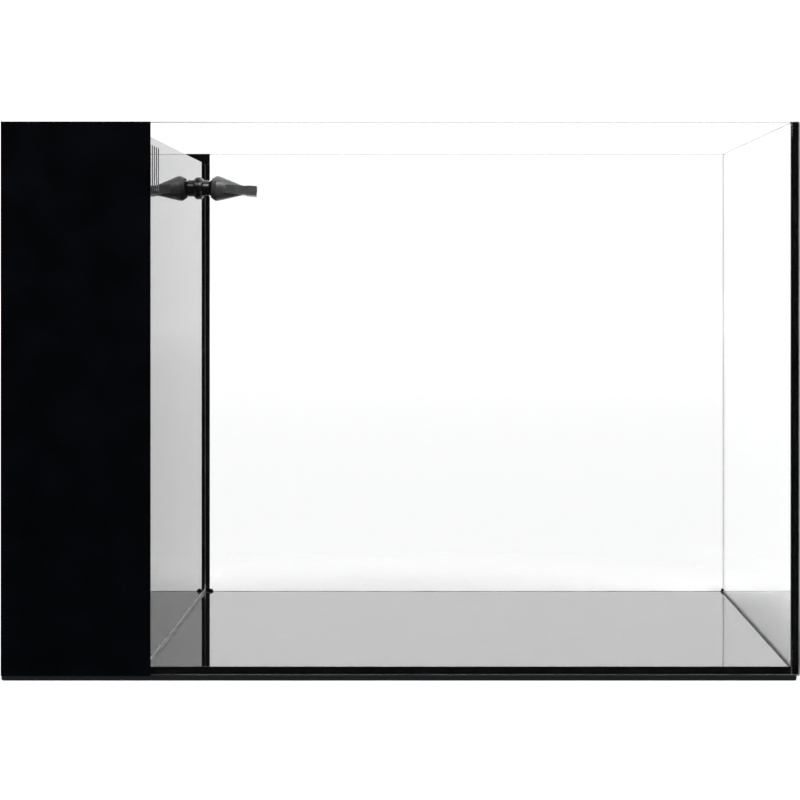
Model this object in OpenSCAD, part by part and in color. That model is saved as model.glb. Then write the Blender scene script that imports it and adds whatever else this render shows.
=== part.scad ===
// Rimless glass aquarium with a filter chamber at its left end.
// X runs from the filter end to the display end, Y from front to back, Z up.
// The origin is on the ground under the middle of the tank. Sizes are in millimetres.

/* [Tank] */
// Width of the glass box, filter end to display end
tank_w = 500; // [420:1:700]
// Depth of the glass box, front to back
tank_d = 300; // [250:1:450]
// Height from the ground to the rim
tank_h = 350; // [290:1:480]
// Thickness of every glass pane
glass_t = 5; // [4:0.5:8]
// Polished arris along the edges of the panes
arris = 0.5; // [0.2:0.1:1]
// Thickness of the silicone between two panes
bond_t = 1; // [0.6:0.1:2]
// Leg of the silicone fillets in the inside corners of the panes
bead = 0.6; // [0.4:0.1:2]

/* [Levelling mat] */
// Thickness of the foam mat
mat_t = 3; // [2:0.5:6]
// Corner cut of the foam mat
mat_cut = 4; // [1:0.5:10]

/* [Blackout film] */
// Thickness of the black film
film_t = 0.25; // [0.1:0.05:0.5]
// How far the film reaches past the overflow wall
film_reach = 3.2; // [1:0.1:10]

/* [Filter chamber] */
// Clear width between the left pane and the overflow wall
chamber_w = 80.5; // [66:0.5:110]
// Thickness of the overflow wall
wall_t = 5; // [4:0.5:8]
// Drop from the rim to the top of the overflow wall
wall_drop = 8; // [4:1:20]
// Glue gap along the edges of the wall and the dividers
glue_gap = 0.3; // [0.1:0.1:0.8]
// Leg of the silicone beads along the wall and the dividers
wall_bead = 2; // [1:0.5:3]
// Thickness of the two dividers
divider_t = 4; // [3:0.5:6]
// Length of the bay that holds the filter sock
sock_bay = 88; // [72:1:110]
// Length of the bay that holds the pump
pump_bay = 96; // [92:1:120]
// Height of the gap under the sock divider
underflow = 25; // [15:1:40]
// Drop from the rim to the top of the pump divider
spill_drop = 95; // [70:1:120]
// Width of the spill slots in the pump divider
spill_slot_w = 4.5; // [2:0.5:5]
// Depth of the spill slots
spill_slot_h = 18; // [8:1:30]
// Distance from one spill slot to the next
spill_pitch = 8; // [7:0.5:12]

/* [Weir] */
// Width of a weir slot
weir_slot_w = 4.5; // [2:0.5:5]
// Height of a weir slot
weir_slot_h = 29; // [15:1:40]
// Distance from one weir slot to the next
weir_pitch = 8.5; // [7:0.5:12]
// Number of weir slots
weir_slots = 6; // [2:1:8]
// Height of the strip left above the slots
weir_bridge = 4.5; // [3:0.5:10]
// Distance from the front pane to the first slot
weir_start = 5; // [4:0.5:15]

/* [Filter sock] */
// Width of the ledges under the sock plate
ledge_w = 6; // [4:0.5:8]
// Height of the ledges
ledge_h = 8; // [5:0.5:12]
// Drop from the weir's sill to the top of the ledges
ledge_drop = 12; // [10:0.5:25]
// Thickness of the sock plate
plate_t = 4; // [3:0.5:6]
// Thickness of the sock ring's flange
ring_t = 3; // [2:0.5:4]
// How far the ring's flange stands out past the sock
ring_lip = 5; // [3:0.5:6]
// Wall of the ring's throat
throat_t = 2; // [1.5:0.5:3]
// Length of the ring's throat
throat_l = 22; // [15:1:40]
// Thickness of the felt
felt_t = 2.5; // [1.5:0.5:4]
// Length of the felt bag
sock_l = 170; // [100:1:200]
// How much narrower the bag is at its foot, on the radius
sock_taper = 3; // [1:0.5:6]

/* [Media basket] */
// Height of the basket's walls
basket_h = 180; // [175:1:190]
// Wall and floor of the basket
basket_wall = 2.5; // [2:0.5:4]
// Height of the basket's feet
basket_foot = 12; // [8:1:25]
// Outer corner radius of the basket
basket_round = 5; // [4:0.5:8]
// Thickness of a tray
tray_t = 3; // [2:0.5:4]
// Width and height of the rails that carry the trays
rail = 2; // [1.5:0.5:3]
// Width of the flow slots in the basket and its trays
flow_slot = 3; // [2:0.5:4]
// Distance from one flow slot to the next
flow_pitch = 7; // [6:0.5:10]
// Height of the bio block
bio_h = 48; // [30:1:50]
// Diameter of the channels in the bio block
bio_bore = 6; // [4:0.5:8]
// Distance between the channels
bio_pitch = 11; // [10:0.5:14]
// Height of the coarse sponge
sponge_h = 60; // [40:1:64]
// Height of the floss pad
floss_h = 24; // [15:1:30]

/* [Return pump] */
// Width of the motor block
pump_w = 46; // [42:1:50]
// Height of the motor block
pump_h = 48; // [46:1:56]
// Length of the motor block
motor_l = 40; // [39:1:42]
// Corner radius of the motor block
pump_round = 9; // [4:0.5:12]
// Radius of the volute
volute_r = 21; // [20:0.5:22]
// Length of the volute
volute_l = 18; // [17:0.5:20]
// Length of the intake grille
grille_l = 12; // [9:0.5:13]
// Radius of the rotor magnet
magnet_r = 9.4; // [7:0.1:10]
// Length of the rotor magnet
magnet_l = 28; // [20:0.5:30]
// Radius of the impeller
impeller_r = 13; // [11:0.5:14]
// Number of impeller blades
blades = 6; // [4:1:8]
// Radius of the ceramic shaft
shaft_r = 2; // [1.5:0.1:2.5]
// Height of the suction cups
cup_h = 7; // [5:0.5:10]
// Sideways offset of the outlet from the shaft
outlet_off = 9; // [6:0.5:9.5]

/* [Return line] */
// Bore of the return hose
hose_id = 13; // [12:0.2:16]
// Wall of the return hose
hose_wall = 2; // [1.5:0.25:3]
// Length of a hose barb
barb_l = 16; // [12:1:22]
// Bend radius of the elbow
elbow_r = 12; // [10:0.5:16]
// Thickness of the wall fitting's gasket
gasket_t = 1.5; // [1:0.25:3]
// Length of the wall fitting's nut
nut_l = 6; // [5:0.5:9]
// Outer radius of the wall fitting's threaded tail
tail_r = 6.5; // [6.4:0.1:7]

/* [Nozzle] */
// Distance from the back pane to the nozzle
nozzle_back = 37; // [34:1:42]
// Drop from the top of the overflow wall to the nozzle
nozzle_drop = 21; // [16:1:40]
// Radius of the collar at the wall
collar_r = 8.4; // [8:0.1:12]
// Length of the collar
collar_l = 3.4; // [3:0.1:5]
// Radius of the neck's waist
waist_r = 6.3; // [5.5:0.1:6.5]
// Radius of the neck's stem in the wall fitting
stem_r = 5; // [4.5:0.1:5]
// Radius of the ball
ball_r = 7.4; // [7:0.1:7.6]
// Distance from the wall to the ball's centre
ball_reach = 13.5; // [13.4:0.1:14.5]
// Greatest radius of the flare's socket
socket_r = 9.5; // [9.4:0.1:11]
// Length of the flare's cone, from the ball's centre
cone_l = 22.7; // [18:0.1:26]
// Length of the flare, from the ball's centre to the lip
flare_l = 30.5; // [28:0.1:38]
// Width of the flare at the lip
flare_w = 28; // [22:0.5:36]
// Height of the flare at the lip
lip_h = 7.2; // [6.6:0.1:9]
// Height of the slit that the water leaves by
slit_h = 3.2; // [2:0.1:4]
// How far the flare points down
flare_tilt = 4.5; // [0:0.5:8]
// How far the flare points to the back
flare_turn = 5; // [0:0.5:8]

/* [Hidden] */
$fn = 64;

// Colours
glass_tint = [0.85, 0.95, 0.93, 0.35];
silicone_black = [0.05, 0.05, 0.06];
silicone_clear = [0.8, 0.82, 0.82];
film_black = [0.02, 0.02, 0.03];
mat_grey = [0.1, 0.12, 0.12];
acrylic_black = [0.07, 0.07, 0.08];
plastic_black = [0.1, 0.1, 0.11];
plastic_grey = [0.25, 0.26, 0.27];
rubber_black = [0.05, 0.05, 0.05];
felt_white = [0.93, 0.93, 0.9];
floss_white = [0.95, 0.95, 0.93];
sponge_black = [0.1, 0.1, 0.12];
ceramic_tan = [0.85, 0.8, 0.72];
impeller_grey = [0.75, 0.76, 0.78];
magnet_grey = [0.2, 0.2, 0.22];
shaft_white = [0.95, 0.95, 0.95];
hose_clear = [0.75, 0.78, 0.78, 0.6];

// Clearances: a turning fit, a seat, a piece that lifts out, and a piece that swings
run_gap = 0.05;
seat_gap = 0.2;
lift_gap = 1;
swing_gap = 0.3;

// How far a cutting shape reaches past what it cuts
cut = 1;

// Faces of the glass box
x_l = -tank_w / 2;
x_r = tank_w / 2;
y_f = -tank_d / 2;
y_b = tank_d / 2;
z_glass = mat_t;
z_floor = mat_t + glass_t;
z_rim = tank_h;
in_l = x_l + glass_t;
in_r = x_r - glass_t;
in_f = y_f + glass_t;
in_b = y_b - glass_t;
in_w = in_r - in_l;
in_d = in_b - in_f;

// A bead's hollow face is an arc through the ends of its legs
bead_arc = 1.5;
bead_arc_at = 0.5 + sqrt((bead_arc * bead_arc - 0.5) / 2);
seam_reach = max(bead, bond_t);

// Overflow wall, dividers and bays
wall_l = in_l + chamber_w;
wall_r = wall_l + wall_t;
wall_top = z_rim - wall_drop;
film_edge = wall_r + film_reach;
chamber_x = in_l + chamber_w / 2;
sock_div_y = in_f + sock_bay;
pump_div_y = in_b - pump_bay - divider_t;
media_y0 = sock_div_y + divider_t;
spill_top = z_rim - spill_drop;
spill_slots = floor((chamber_w - 2 * spill_pitch) / spill_pitch);

// Weir
weir_z = wall_top - weir_bridge - weir_slot_h;

// Filter sock
sock_y = in_f + sock_bay / 2;
sock_room = 3.5;
sock_d = min(chamber_w, sock_bay) - 2 * (ledge_w + sock_room);
plate_z = weir_z - ledge_drop;
plate_w = chamber_w - 2 * lift_gap;
plate_d = sock_bay - 2 * (wall_bead + lift_gap);
plate_round = 3;
ring_z = plate_z + seat_gap + plate_t + seat_gap;
ring_r = sock_d / 2 + ring_lip;
throat_r = sock_d / 2 - felt_t;
foot_r = sock_d / 2 - sock_taper;
tab_w = 20;
tab_h = 14;
tab_t = 3;
tab_hole_r = 4;

// Media basket
basket_w = chamber_w - 4 * lift_gap;
basket_d = pump_div_y - media_y0 - 2 * (wall_bead + lift_gap);
basket_y = (media_y0 + pump_div_y) / 2;
bay_w = basket_w - 2 * basket_wall;
bay_d = basket_d - 2 * basket_wall;
foot_inset = basket_round + wall_bead;
media_gap = rail + swing_gap;
bio_z = basket_foot + basket_wall;
low_tray_z = bio_z + bio_h + rail;
sponge_z = low_tray_z + tray_t;
high_tray_z = sponge_z + sponge_h + rail;
floss_z = high_tray_z + tray_t;
wall_slot_h = 24;

// Return line
nozzle_y = in_b - nozzle_back;
nozzle_z = wall_top - nozzle_drop;
hole_gap = 0.2;
tail_bite = 7;
socket_wall = 2.5;
elbow_stop = 2;
elbow_socket_l = tail_bite + elbow_stop;
elbow_pipe_r = tail_r + 1;
elbow_drop = 3;
line_bore = 4.5;
barb_r = hose_id / 2 - run_gap;
barb_step = 0.5;
barb_root = barb_r - barb_step;
barb_land = 1;
barb_ridges = 3;
hose_od = hose_id + 2 * hose_wall;
hose_x = wall_l - gasket_t - nut_l - seat_gap - elbow_socket_l - elbow_r;
hose_top = nozzle_z - elbow_r - elbow_drop;
clamp_t = 1.2;
clamp_l = 8;
clamp_ear = 5;
clamp_ear_x = 2;
clamp_set = 3;
nut_r = 11;
gasket_r = 9.5;

// Pump: its own frame has the shaft along Y and the joint of motor and volute at Y = 0
pump_x = hose_x - outlet_off;
pump_y = nozzle_y - volute_l / 2;
pump_z = z_floor + cup_h + pump_h / 2;
spigot_r = 17.5;
spigot_l = 3;
ring_wire = 0.5;
ring_groove = 2.6 * ring_wire;
well_gap = 0.8;
well_r = magnet_r + well_gap;
bush_l = 4;
bush_r = 4.5;
cavity_r = 16;
volute_face = 5;
volute_flange = spigot_l + 1;
cavity_l = volute_l - volute_face;
inlet_r = 8;
spider_at = cavity_l + 1;
spider_wall = 1.2;
spider_arm = 2;
outlet_wall = 2;
outlet_r = tail_r + outlet_wall;
outlet_rise = 8;
outlet_top = pump_h / 2 + outlet_rise;
barb_plug = 8;
barb_hex_r = 9.5;
barb_hex_l = 4;
hose_bottom = pump_z + outlet_top + barb_hex_l;
grille_t = 2;
grille_slots = 16;
grille_slot_w = 2.4;
grille_slot_in = volute_r - grille_t - cut;
dial_r = 12;
dial_t = 2.4;
dial_holes = grille_slots / 2;
dial_hole_at = 8;
dial_pin_r = 3;
dial_tab = 5;
cup_r = 8;
cup_neck_r = cup_r / 3;
cup_neck_l = 2;
cup_wall = 1.2;
cup_inset = 9;
cup_x = pump_w / 2 - cup_inset;
groove_d = 1.2;
groove_w = 2;
grooves = 5;
groove_at = 6;
groove_pitch = 6;
rotor_set = 2;
rotor_play = 1;
rotor_y = -magnet_l - rotor_set;
rear_bush_y = rotor_y - rotor_play - bush_l;
impeller_y = spigot_l + rotor_play;
impeller_room = 2.5;
impeller_l = cavity_l - impeller_y - impeller_room;
hub_wall = 2.5;
hub_rise = 1;
back_plate_t = 1.5;
blade_t = 1.5;
blade_curve = 12;
blade_set = 0.5;
shaft_set = 1;
shaft_l = cavity_l + bush_l - rear_bush_y - 2 * shaft_set;
gland_r = 4.5;
gland_l = 12;
gland_head_l = 4;
gland_stem_r = gland_r - 1;
gland_stem_l = 4;
gland_tip_r = gland_r - 1.5;

// Nozzle
stem_l = 8;
snap = 0.45;
snap_l = 1.2;
snap_room = 2.5;
passage_r = 2.6;
waist_end = 7.9;
neck_r = 3.6;
ball_cut = 5.2;
mouth_x = -3.8;
rim_r = ball_r;
rim_l = 3.4;
oring_r = 0.45;
oring_depth = 2;
collar_round = 2.4;
fan_start = 3.9;
fan_root = 6.8;
flare_wall = 2;
flare_bore = 5.5;
lip_step = 0.35;

// The flare's cone leaves the ball of its socket along a tangent
fan_h = lip_h - 2 * lip_step;
cone_tip = (fan_h - 3 * lip_step) / 2;
cone_from = atan2(cone_l, cone_tip) - acos(socket_r / norm([cone_tip, cone_l]));

// Box between two corners
module box(low, high) {
    translate(low) cube(high - low);
}

// Turns a shape that stands on Z so that it lies along X, or along Y
module along_x() {
    rotate([0, 90, 0]) children();
}

module along_y() {
    rotate([-90, 0, 0]) children();
}

// Rectangle about the origin with round corners
module round_rect(w, h, r) {
    square([w - 2 * r, h], center = true);
    square([w, h - 2 * r], center = true);
    for (x = [-1, 1], y = [-1, 1]) {
        translate([x * (w / 2 - r), y * (h / 2 - r)]) circle(r);
    }
}

// Rectangle from the origin with its corners cut off
module cut_rect(w, h, c) {
    polygon([[c, 0], [w - c, 0], [w, c], [w, h - c], [w - c, h], [c, h], [0, h - c], [0, c]]);
}

// Upright slot with round ends, from the origin
module slot_shape(w, h) {
    translate([0, w / 2]) square([w, h - w]);
    for (y = [w / 2, h - w / 2]) {
        translate([w / 2, y]) circle(w / 2);
    }
}

// Glass pane with an arris on each edge
module glass_pane(low, high) {
    size = high - low;
    color(glass_tint) translate(low) intersection() {
        linear_extrude(size.z) cut_rect(size.x, size.y, arris);
        translate([0, size.y, 0]) rotate([90, 0, 0]) {
            linear_extrude(size.y) cut_rect(size.x, size.z, arris);
        }
        rotate([90, 0, 90]) linear_extrude(size.x) cut_rect(size.y, size.z, arris);
    }
}

// Section of a bead with the given leg, in the corner of the two axes
module bead_shape(leg) {
    difference() {
        polygon([[0, 0], [leg, 0], [0, leg]]);
        translate([bead_arc_at * leg, bead_arc_at * leg]) circle(bead_arc * leg);
    }
}

// Tube with barbs that stands on the origin
module barb() {
    ridge_l = (barb_l - barb_land) / barb_ridges;
    cylinder(r = barb_root, h = barb_l);
    for (i = [0 : barb_ridges - 1]) {
        translate([0, 0, barb_land + i * ridge_l]) cylinder(r1 = barb_r, r2 = barb_root, h = ridge_l);
    }
}

module at_pump() {
    translate([pump_x, pump_y, pump_z]) children();
}

module at_nozzle() {
    translate([wall_r, nozzle_y, nozzle_z]) children();
}

// Glass box
module bottom_pane() {
    glass_pane([in_l + bond_t, in_f + bond_t, z_glass], [in_r - bond_t, in_b - bond_t, z_floor]);
}

module front_pane() {
    glass_pane([x_l, y_f, z_glass], [x_r, in_f, z_rim]);
}

module back_pane() {
    glass_pane([x_l, in_b, z_glass], [x_r, y_b, z_rim]);
}

module left_pane() {
    glass_pane([x_l, in_f + bond_t, z_glass], [in_l, in_b - bond_t, z_rim]);
}

module right_pane() {
    glass_pane([in_r, in_f + bond_t, z_glass], [x_r, in_b - bond_t, z_rim]);
}

// Silicone in an upright corner whose side pane lies towards +X and front pane towards -Y
module corner_seam() {
    color(silicone_black) {
        translate([0, 0, z_glass]) linear_extrude(z_rim - arris - z_glass) square([glass_t, bond_t]);
        translate([0, 0, z_floor + bead]) linear_extrude(z_rim - arris - z_floor - bead) {
            mirror([1, 0]) bead_shape(bead);
        }
    }
}

module seam_front_left() {
    translate([in_l, in_f, 0]) mirror([1, 0, 0]) corner_seam();
}

module seam_front_right() {
    translate([in_r, in_f, 0]) corner_seam();
}

module seam_back_left() {
    translate([in_l, in_b, 0]) rotate(180) corner_seam();
}

module seam_back_right() {
    translate([in_r, in_b, 0]) mirror([0, 1, 0]) corner_seam();
}

// One side of the silicone round the bottom pane, mitred at both ends
module bottom_seam_side(length) {
    intersection() {
        rotate([90, 0, 90]) linear_extrude(length) {
            translate([0, -glass_t]) square([bond_t, glass_t]);
            bead_shape(bead);
        }
        translate([0, 0, -glass_t]) linear_extrude(glass_t + bead) polygon([
            [0, 0], [length, 0], [length - seam_reach, seam_reach], [seam_reach, seam_reach]
        ]);
    }
}

module seam_bottom() {
    color(silicone_black) difference() {
        translate([0, 0, z_floor]) {
            translate([in_l, in_f, 0]) bottom_seam_side(in_w);
            translate([in_r, in_f, 0]) rotate(90) bottom_seam_side(in_d);
            translate([in_r, in_b, 0]) rotate(180) bottom_seam_side(in_w);
            translate([in_l, in_b, 0]) rotate(270) bottom_seam_side(in_d);
        }
        box([wall_l, y_f, z_floor], [wall_r, y_b, wall_top]);
        box([x_l, pump_div_y, z_floor], [wall_l, pump_div_y + divider_t, wall_top]);
    }
}

// Black film outside the filter end
module front_film() {
    color(film_black) box([x_l, y_f - film_t, z_glass], [film_edge, y_f, z_rim]);
}

module left_film() {
    color(film_black) box([x_l - film_t, y_f, z_glass], [x_l, y_b, z_rim]);
}

module back_film() {
    color(film_black) box([x_l, y_b, z_glass], [film_edge, y_b + film_t, z_rim]);
}

module levelling_mat() {
    color(mat_grey) translate([x_l, y_f, 0]) linear_extrude(mat_t) {
        cut_rect(tank_w, tank_d, mat_cut);
    }
}

// Overflow wall with the weir slots and the hole for the wall fitting
module overflow_wall() {
    color(acrylic_black) difference() {
        box([wall_l, in_f + glue_gap, z_floor], [wall_r, in_b - glue_gap, wall_top]);
        for (i = [0 : weir_slots - 1]) {
            translate([wall_l - cut, in_f + weir_start + i * weir_pitch, weir_z]) rotate([90, 0, 90]) {
                linear_extrude(wall_t + 2 * cut) slot_shape(weir_slot_w, weir_slot_h);
            }
        }
        translate([wall_l - cut, nozzle_y, nozzle_z]) along_x() {
            cylinder(r = tail_r + hole_gap, h = wall_t + 2 * cut);
        }
    }
}

// Beads along the display side of the wall: one on the floor and one on each pane
module wall_beads() {
    upright_z = z_floor + wall_bead;
    color(silicone_clear) {
        translate([wall_r, in_b - bead, z_floor]) rotate([90, 0, 0]) {
            linear_extrude(in_d - 2 * bead) bead_shape(wall_bead);
        }
        translate([wall_r, in_f, upright_z]) linear_extrude(wall_top - upright_z) bead_shape(wall_bead);
        translate([wall_r, in_b, upright_z]) mirror([0, 1, 0]) {
            linear_extrude(wall_top - upright_z) bead_shape(wall_bead);
        }
    }
}

module sock_divider() {
    color(acrylic_black) box(
        [in_l + glue_gap, sock_div_y, z_floor + underflow],
        [wall_l - glue_gap, sock_div_y + divider_t, wall_top]
    );
}

module pump_divider() {
    first = chamber_x - (spill_slots - 1) * spill_pitch / 2 - spill_slot_w / 2;
    color(acrylic_black) difference() {
        box(
            [in_l + glue_gap, pump_div_y, z_floor],
            [wall_l - glue_gap, pump_div_y + divider_t, spill_top]
        );
        for (i = [0 : spill_slots - 1]) {
            translate([first + i * spill_pitch, pump_div_y + divider_t + cut, spill_top - spill_slot_h]) {
                rotate([90, 0, 0]) linear_extrude(divider_t + 2 * cut) {
                    slot_shape(spill_slot_w, spill_slot_h + spill_slot_w);
                }
            }
        }
    }
}

// Beads on both upright edges of a divider, on its back face
module edge_beads(y, low, high) {
    translate([in_l, y, low]) linear_extrude(high - low) bead_shape(wall_bead);
    translate([wall_l, y, low]) mirror([1, 0, 0]) linear_extrude(high - low) bead_shape(wall_bead);
}

module divider_beads() {
    color(silicone_black) {
        edge_beads(sock_div_y + divider_t, z_floor + underflow, wall_top);
        edge_beads(pump_div_y + divider_t, z_floor + bead, spill_top);
    }
}

// Ledge along Y whose back is the plane X = 0 and whose top is Z = 0
module ledge() {
    rotate([90, 0, 0]) linear_extrude(plate_d) polygon([
        [0, 0], [ledge_w, 0], [ledge_w, -ledge_h / 2], [0, -ledge_h]
    ]);
}

module sock_ledges() {
    color(acrylic_black) {
        translate([in_l, sock_y + plate_d / 2, plate_z]) ledge();
        translate([wall_l, sock_y + plate_d / 2, plate_z]) mirror([1, 0, 0]) ledge();
    }
}

module sock_plate() {
    color(acrylic_black) translate([chamber_x, sock_y, plate_z + seat_gap]) {
        linear_extrude(plate_t) difference() {
            round_rect(plate_w, plate_d, plate_round);
            circle(sock_d / 2 + lift_gap);
        }
    }
}

// Ring of the sock: a flange on the plate, a throat in the bag and two pull tabs
module sock_ring() {
    color(plastic_black) translate([chamber_x, sock_y, ring_z]) {
        rotate_extrude() {
            translate([throat_r - throat_t, 0]) square([ring_r - throat_r + throat_t, ring_t]);
            translate([throat_r - throat_t, -throat_l]) square([throat_t, throat_l]);
        }
        for (side = [-1, 1]) {
            translate([0, side * (ring_r - ring_lip), ring_t]) rotate([90, 0, 0]) {
                translate([0, tab_h / 2, -tab_t / 2]) linear_extrude(tab_t) difference() {
                    round_rect(tab_w, tab_h + 2 * plate_round, plate_round);
                    translate([-tab_w, -tab_h / 2 - tab_w]) square([2 * tab_w, tab_w]);
                }
            }
        }
    }
}

// Round-footed bag of a given top and foot radius
module bag_form(top_r, bottom_r, rise) {
    cylinder(r1 = bottom_r, r2 = top_r, h = rise);
    sphere(bottom_r);
}

module sock_bag() {
    rise = sock_l - foot_r;
    color(felt_white) translate([chamber_x, sock_y, ring_z - seat_gap - rise]) difference() {
        bag_form(sock_d / 2, foot_r, rise);
        bag_form(throat_r, foot_r - felt_t, rise);
        translate([0, 0, rise - throat_l]) cylinder(r = throat_r, h = throat_l + cut);
    }
}

// Row of slots along X, centred, cut through a floor of the given size
module floor_slots(w, d, h) {
    count = floor((d - 2 * flow_pitch) / flow_pitch);
    for (i = [0 : count - 1]) {
        y = (i - (count - 1) / 2) * flow_pitch;
        translate([-w / 2 + flow_pitch, y - flow_slot / 2, -cut]) {
            cube([w - 2 * flow_pitch, flow_slot, h + 2 * cut]);
        }
    }
}

// Slots through the front and back walls of the basket
module wall_slots() {
    count = floor((bay_w - 2 * flow_pitch) / flow_pitch);
    bio_slots_z = bio_z + (bio_h - wall_slot_h) / 2;
    sponge_slots_z = sponge_z + (sponge_h - wall_slot_h) / 2;
    for (z = [bio_slots_z, sponge_slots_z], i = [0 : count - 1]) {
        x = (i - (count - 1) / 2) * flow_pitch;
        translate([x - flow_slot / 2, basket_d / 2 + cut, z]) rotate([90, 0, 0]) {
            linear_extrude(basket_d + 2 * cut) slot_shape(flow_slot, wall_slot_h);
        }
    }
}

module at_basket() {
    translate([chamber_x, basket_y, z_floor + seat_gap]) children();
}

// Pull tab with a finger hole, upright on the basket's edge
module basket_tab() {
    translate([0, basket_wall / 2, 0]) rotate([90, 0, 0]) linear_extrude(basket_wall) difference() {
        translate([0, (tab_h - plate_round) / 2]) round_rect(tab_w, tab_h + plate_round, plate_round);
        translate([-tab_w, -tab_w]) square([2 * tab_w, tab_w]);
        translate([0, tab_h / 2]) circle(tab_hole_r);
    }
}

module media_basket() {
    color(plastic_black) at_basket() {
        difference() {
            translate([0, 0, basket_foot]) linear_extrude(basket_h) {
                round_rect(basket_w, basket_d, basket_round);
            }
            translate([0, 0, bio_z]) linear_extrude(basket_h) {
                round_rect(bay_w, bay_d, basket_round - basket_wall);
            }
            translate([0, 0, basket_foot]) floor_slots(bay_w, bay_d, basket_wall);
            wall_slots();
        }
        for (x = [-1, 1], y = [-1, 1]) {
            translate([x * (basket_w / 2 - foot_inset), y * (basket_d / 2 - foot_inset), 0]) {
                cylinder(r = basket_round, h = basket_foot);
            }
        }
        for (side = [-1, 1], z = [low_tray_z, high_tray_z]) {
            translate([side * (bay_w - rail) / 2, 0, z - rail / 2]) {
                cube([rail, bay_d, rail], center = true);
            }
        }
        for (side = [-1, 1]) {
            translate([0, side * (basket_d - basket_wall) / 2, basket_foot + basket_h]) basket_tab();
        }
    }
}

module tray() {
    difference() {
        linear_extrude(tray_t) {
            round_rect(bay_w - lift_gap, bay_d - lift_gap, basket_round - basket_wall);
        }
        floor_slots(bay_w, bay_d, tray_t);
    }
}

module basket_trays() {
    color(plastic_black) at_basket() {
        translate([0, 0, low_tray_z]) tray();
        translate([0, 0, high_tray_z]) tray();
    }
}

module media_shape(h) {
    linear_extrude(h) {
        round_rect(bay_w - 2 * media_gap, bay_d - 2 * media_gap, basket_round - basket_wall);
    }
}

module bio_block() {
    across = floor((bay_w - 2 * media_gap - bio_bore) / bio_pitch);
    along = floor((bay_d - 2 * media_gap - bio_bore) / bio_pitch);
    color(ceramic_tan) at_basket() translate([0, 0, bio_z]) difference() {
        media_shape(bio_h);
        for (i = [0 : across - 1], j = [0 : along - 1]) {
            translate([(i - (across - 1) / 2) * bio_pitch, (j - (along - 1) / 2) * bio_pitch, -cut]) {
                cylinder(d = bio_bore, h = bio_h + 2 * cut);
            }
        }
    }
}

module coarse_sponge() {
    color(sponge_black) at_basket() translate([0, 0, sponge_z]) media_shape(sponge_h);
}

module floss_pad() {
    color(floss_white) at_basket() translate([0, 0, floss_z]) media_shape(floss_h);
}

// Motor block with cooling grooves, the rotor's well and the rear bush's seat
module pump_motor() {
    color(plastic_black) at_pump() difference() {
        union() {
            rotate([90, 0, 0]) linear_extrude(motor_l) round_rect(pump_w, pump_h, pump_round);
            along_y() cylinder(r = spigot_r, h = spigot_l);
        }
        for (i = [0 : grooves - 1]) {
            translate([0, -groove_at - i * groove_pitch, 0]) rotate([90, 0, 0]) {
                linear_extrude(groove_w) difference() {
                    square([2 * pump_w, 2 * pump_h], center = true);
                    round_rect(pump_w - 2 * groove_d, pump_h - 2 * groove_d, pump_round - groove_d);
                }
            }
        }
        translate([0, rotor_y - rotor_play, 0]) along_y() {
            cylinder(r = well_r, h = spigot_l + rotor_play - rotor_y + cut);
        }
        translate([0, rear_bush_y, 0]) along_y() cylinder(r = bush_r, h = bush_l + cut);
        translate([0, gland_l / 2 - motor_l, pump_h / 2 - gland_stem_l]) {
            cylinder(r = gland_stem_r, h = gland_stem_l + cut);
        }
        translate([0, spigot_l / 2, 0]) along_y() rotate_extrude() {
            translate([spigot_r - 2 * ring_wire, -ring_groove / 2]) square(ring_groove);
        }
    }
}

// Volute with its outlet, the inlet and the spider that holds the front bush
module pump_volute() {
    color(plastic_black) at_pump() difference() {
        union() {
            difference() {
                union() {
                    along_y() cylinder(r = volute_r, h = volute_l);
                    translate([outlet_off, volute_l / 2, 0]) cylinder(r = outlet_r, h = outlet_top);
                    translate([0, volute_flange, 0]) rotate([90, 0, 0]) {
                        linear_extrude(volute_flange) round_rect(pump_w, pump_h, pump_round);
                    }
                }
                translate([0, -cut, 0]) along_y() cylinder(r = spigot_r + seat_gap, h = spigot_l + cut);
                along_y() cylinder(r = cavity_r, h = cavity_l);
                along_y() cylinder(r = inlet_r, h = volute_l + cut);
                translate([outlet_off, volute_l / 2, cavity_r / 2]) cylinder(r = line_bore, h = outlet_top);
                translate([outlet_off, volute_l / 2, outlet_top - barb_plug]) {
                    cylinder(r = tail_r, h = barb_plug + cut);
                }
            }
            translate([0, spider_at, 0]) along_y() {
                cylinder(r = bush_r + spider_wall, h = bush_l);
                for (turn = [0, 120, 240]) {
                    rotate(turn) translate([bush_r, -spider_arm / 2, 0]) {
                        cube([inlet_r - bush_r + spider_wall, spider_arm, bush_l]);
                    }
                }
            }
        }
        translate([0, cavity_l, 0]) along_y() cylinder(r = bush_r, h = bush_l);
    }
}

// Strainer cap with slots round its side, and holes in its face
module intake_grille() {
    color(plastic_black) at_pump() translate([0, volute_l, 0]) along_y() difference() {
        cylinder(r = volute_r, h = grille_l);
        translate([0, 0, -cut]) cylinder(r = volute_r - grille_t, h = grille_l - grille_t + cut);
        for (i = [0 : grille_slots - 1]) {
            rotate(i * 360 / grille_slots) translate([grille_slot_in, -grille_slot_w / 2, grille_t]) {
                cube([grille_t + 2 * cut, grille_slot_w, grille_l - 3 * grille_t]);
            }
        }
        translate([0, 0, grille_l - grille_t - cut]) {
            dial_hole_ring(grille_t + 2 * cut);
            cylinder(r = dial_pin_r + run_gap, h = grille_t + 2 * cut);
        }
    }
}

// Ring of round holes shared by the grille's face and the dial
module dial_hole_ring(h) {
    for (i = [0 : dial_holes - 1]) {
        rotate(i * 360 / dial_holes) translate([dial_hole_at, 0, 0]) cylinder(r = grille_slot_w, h = h);
    }
}

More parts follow.
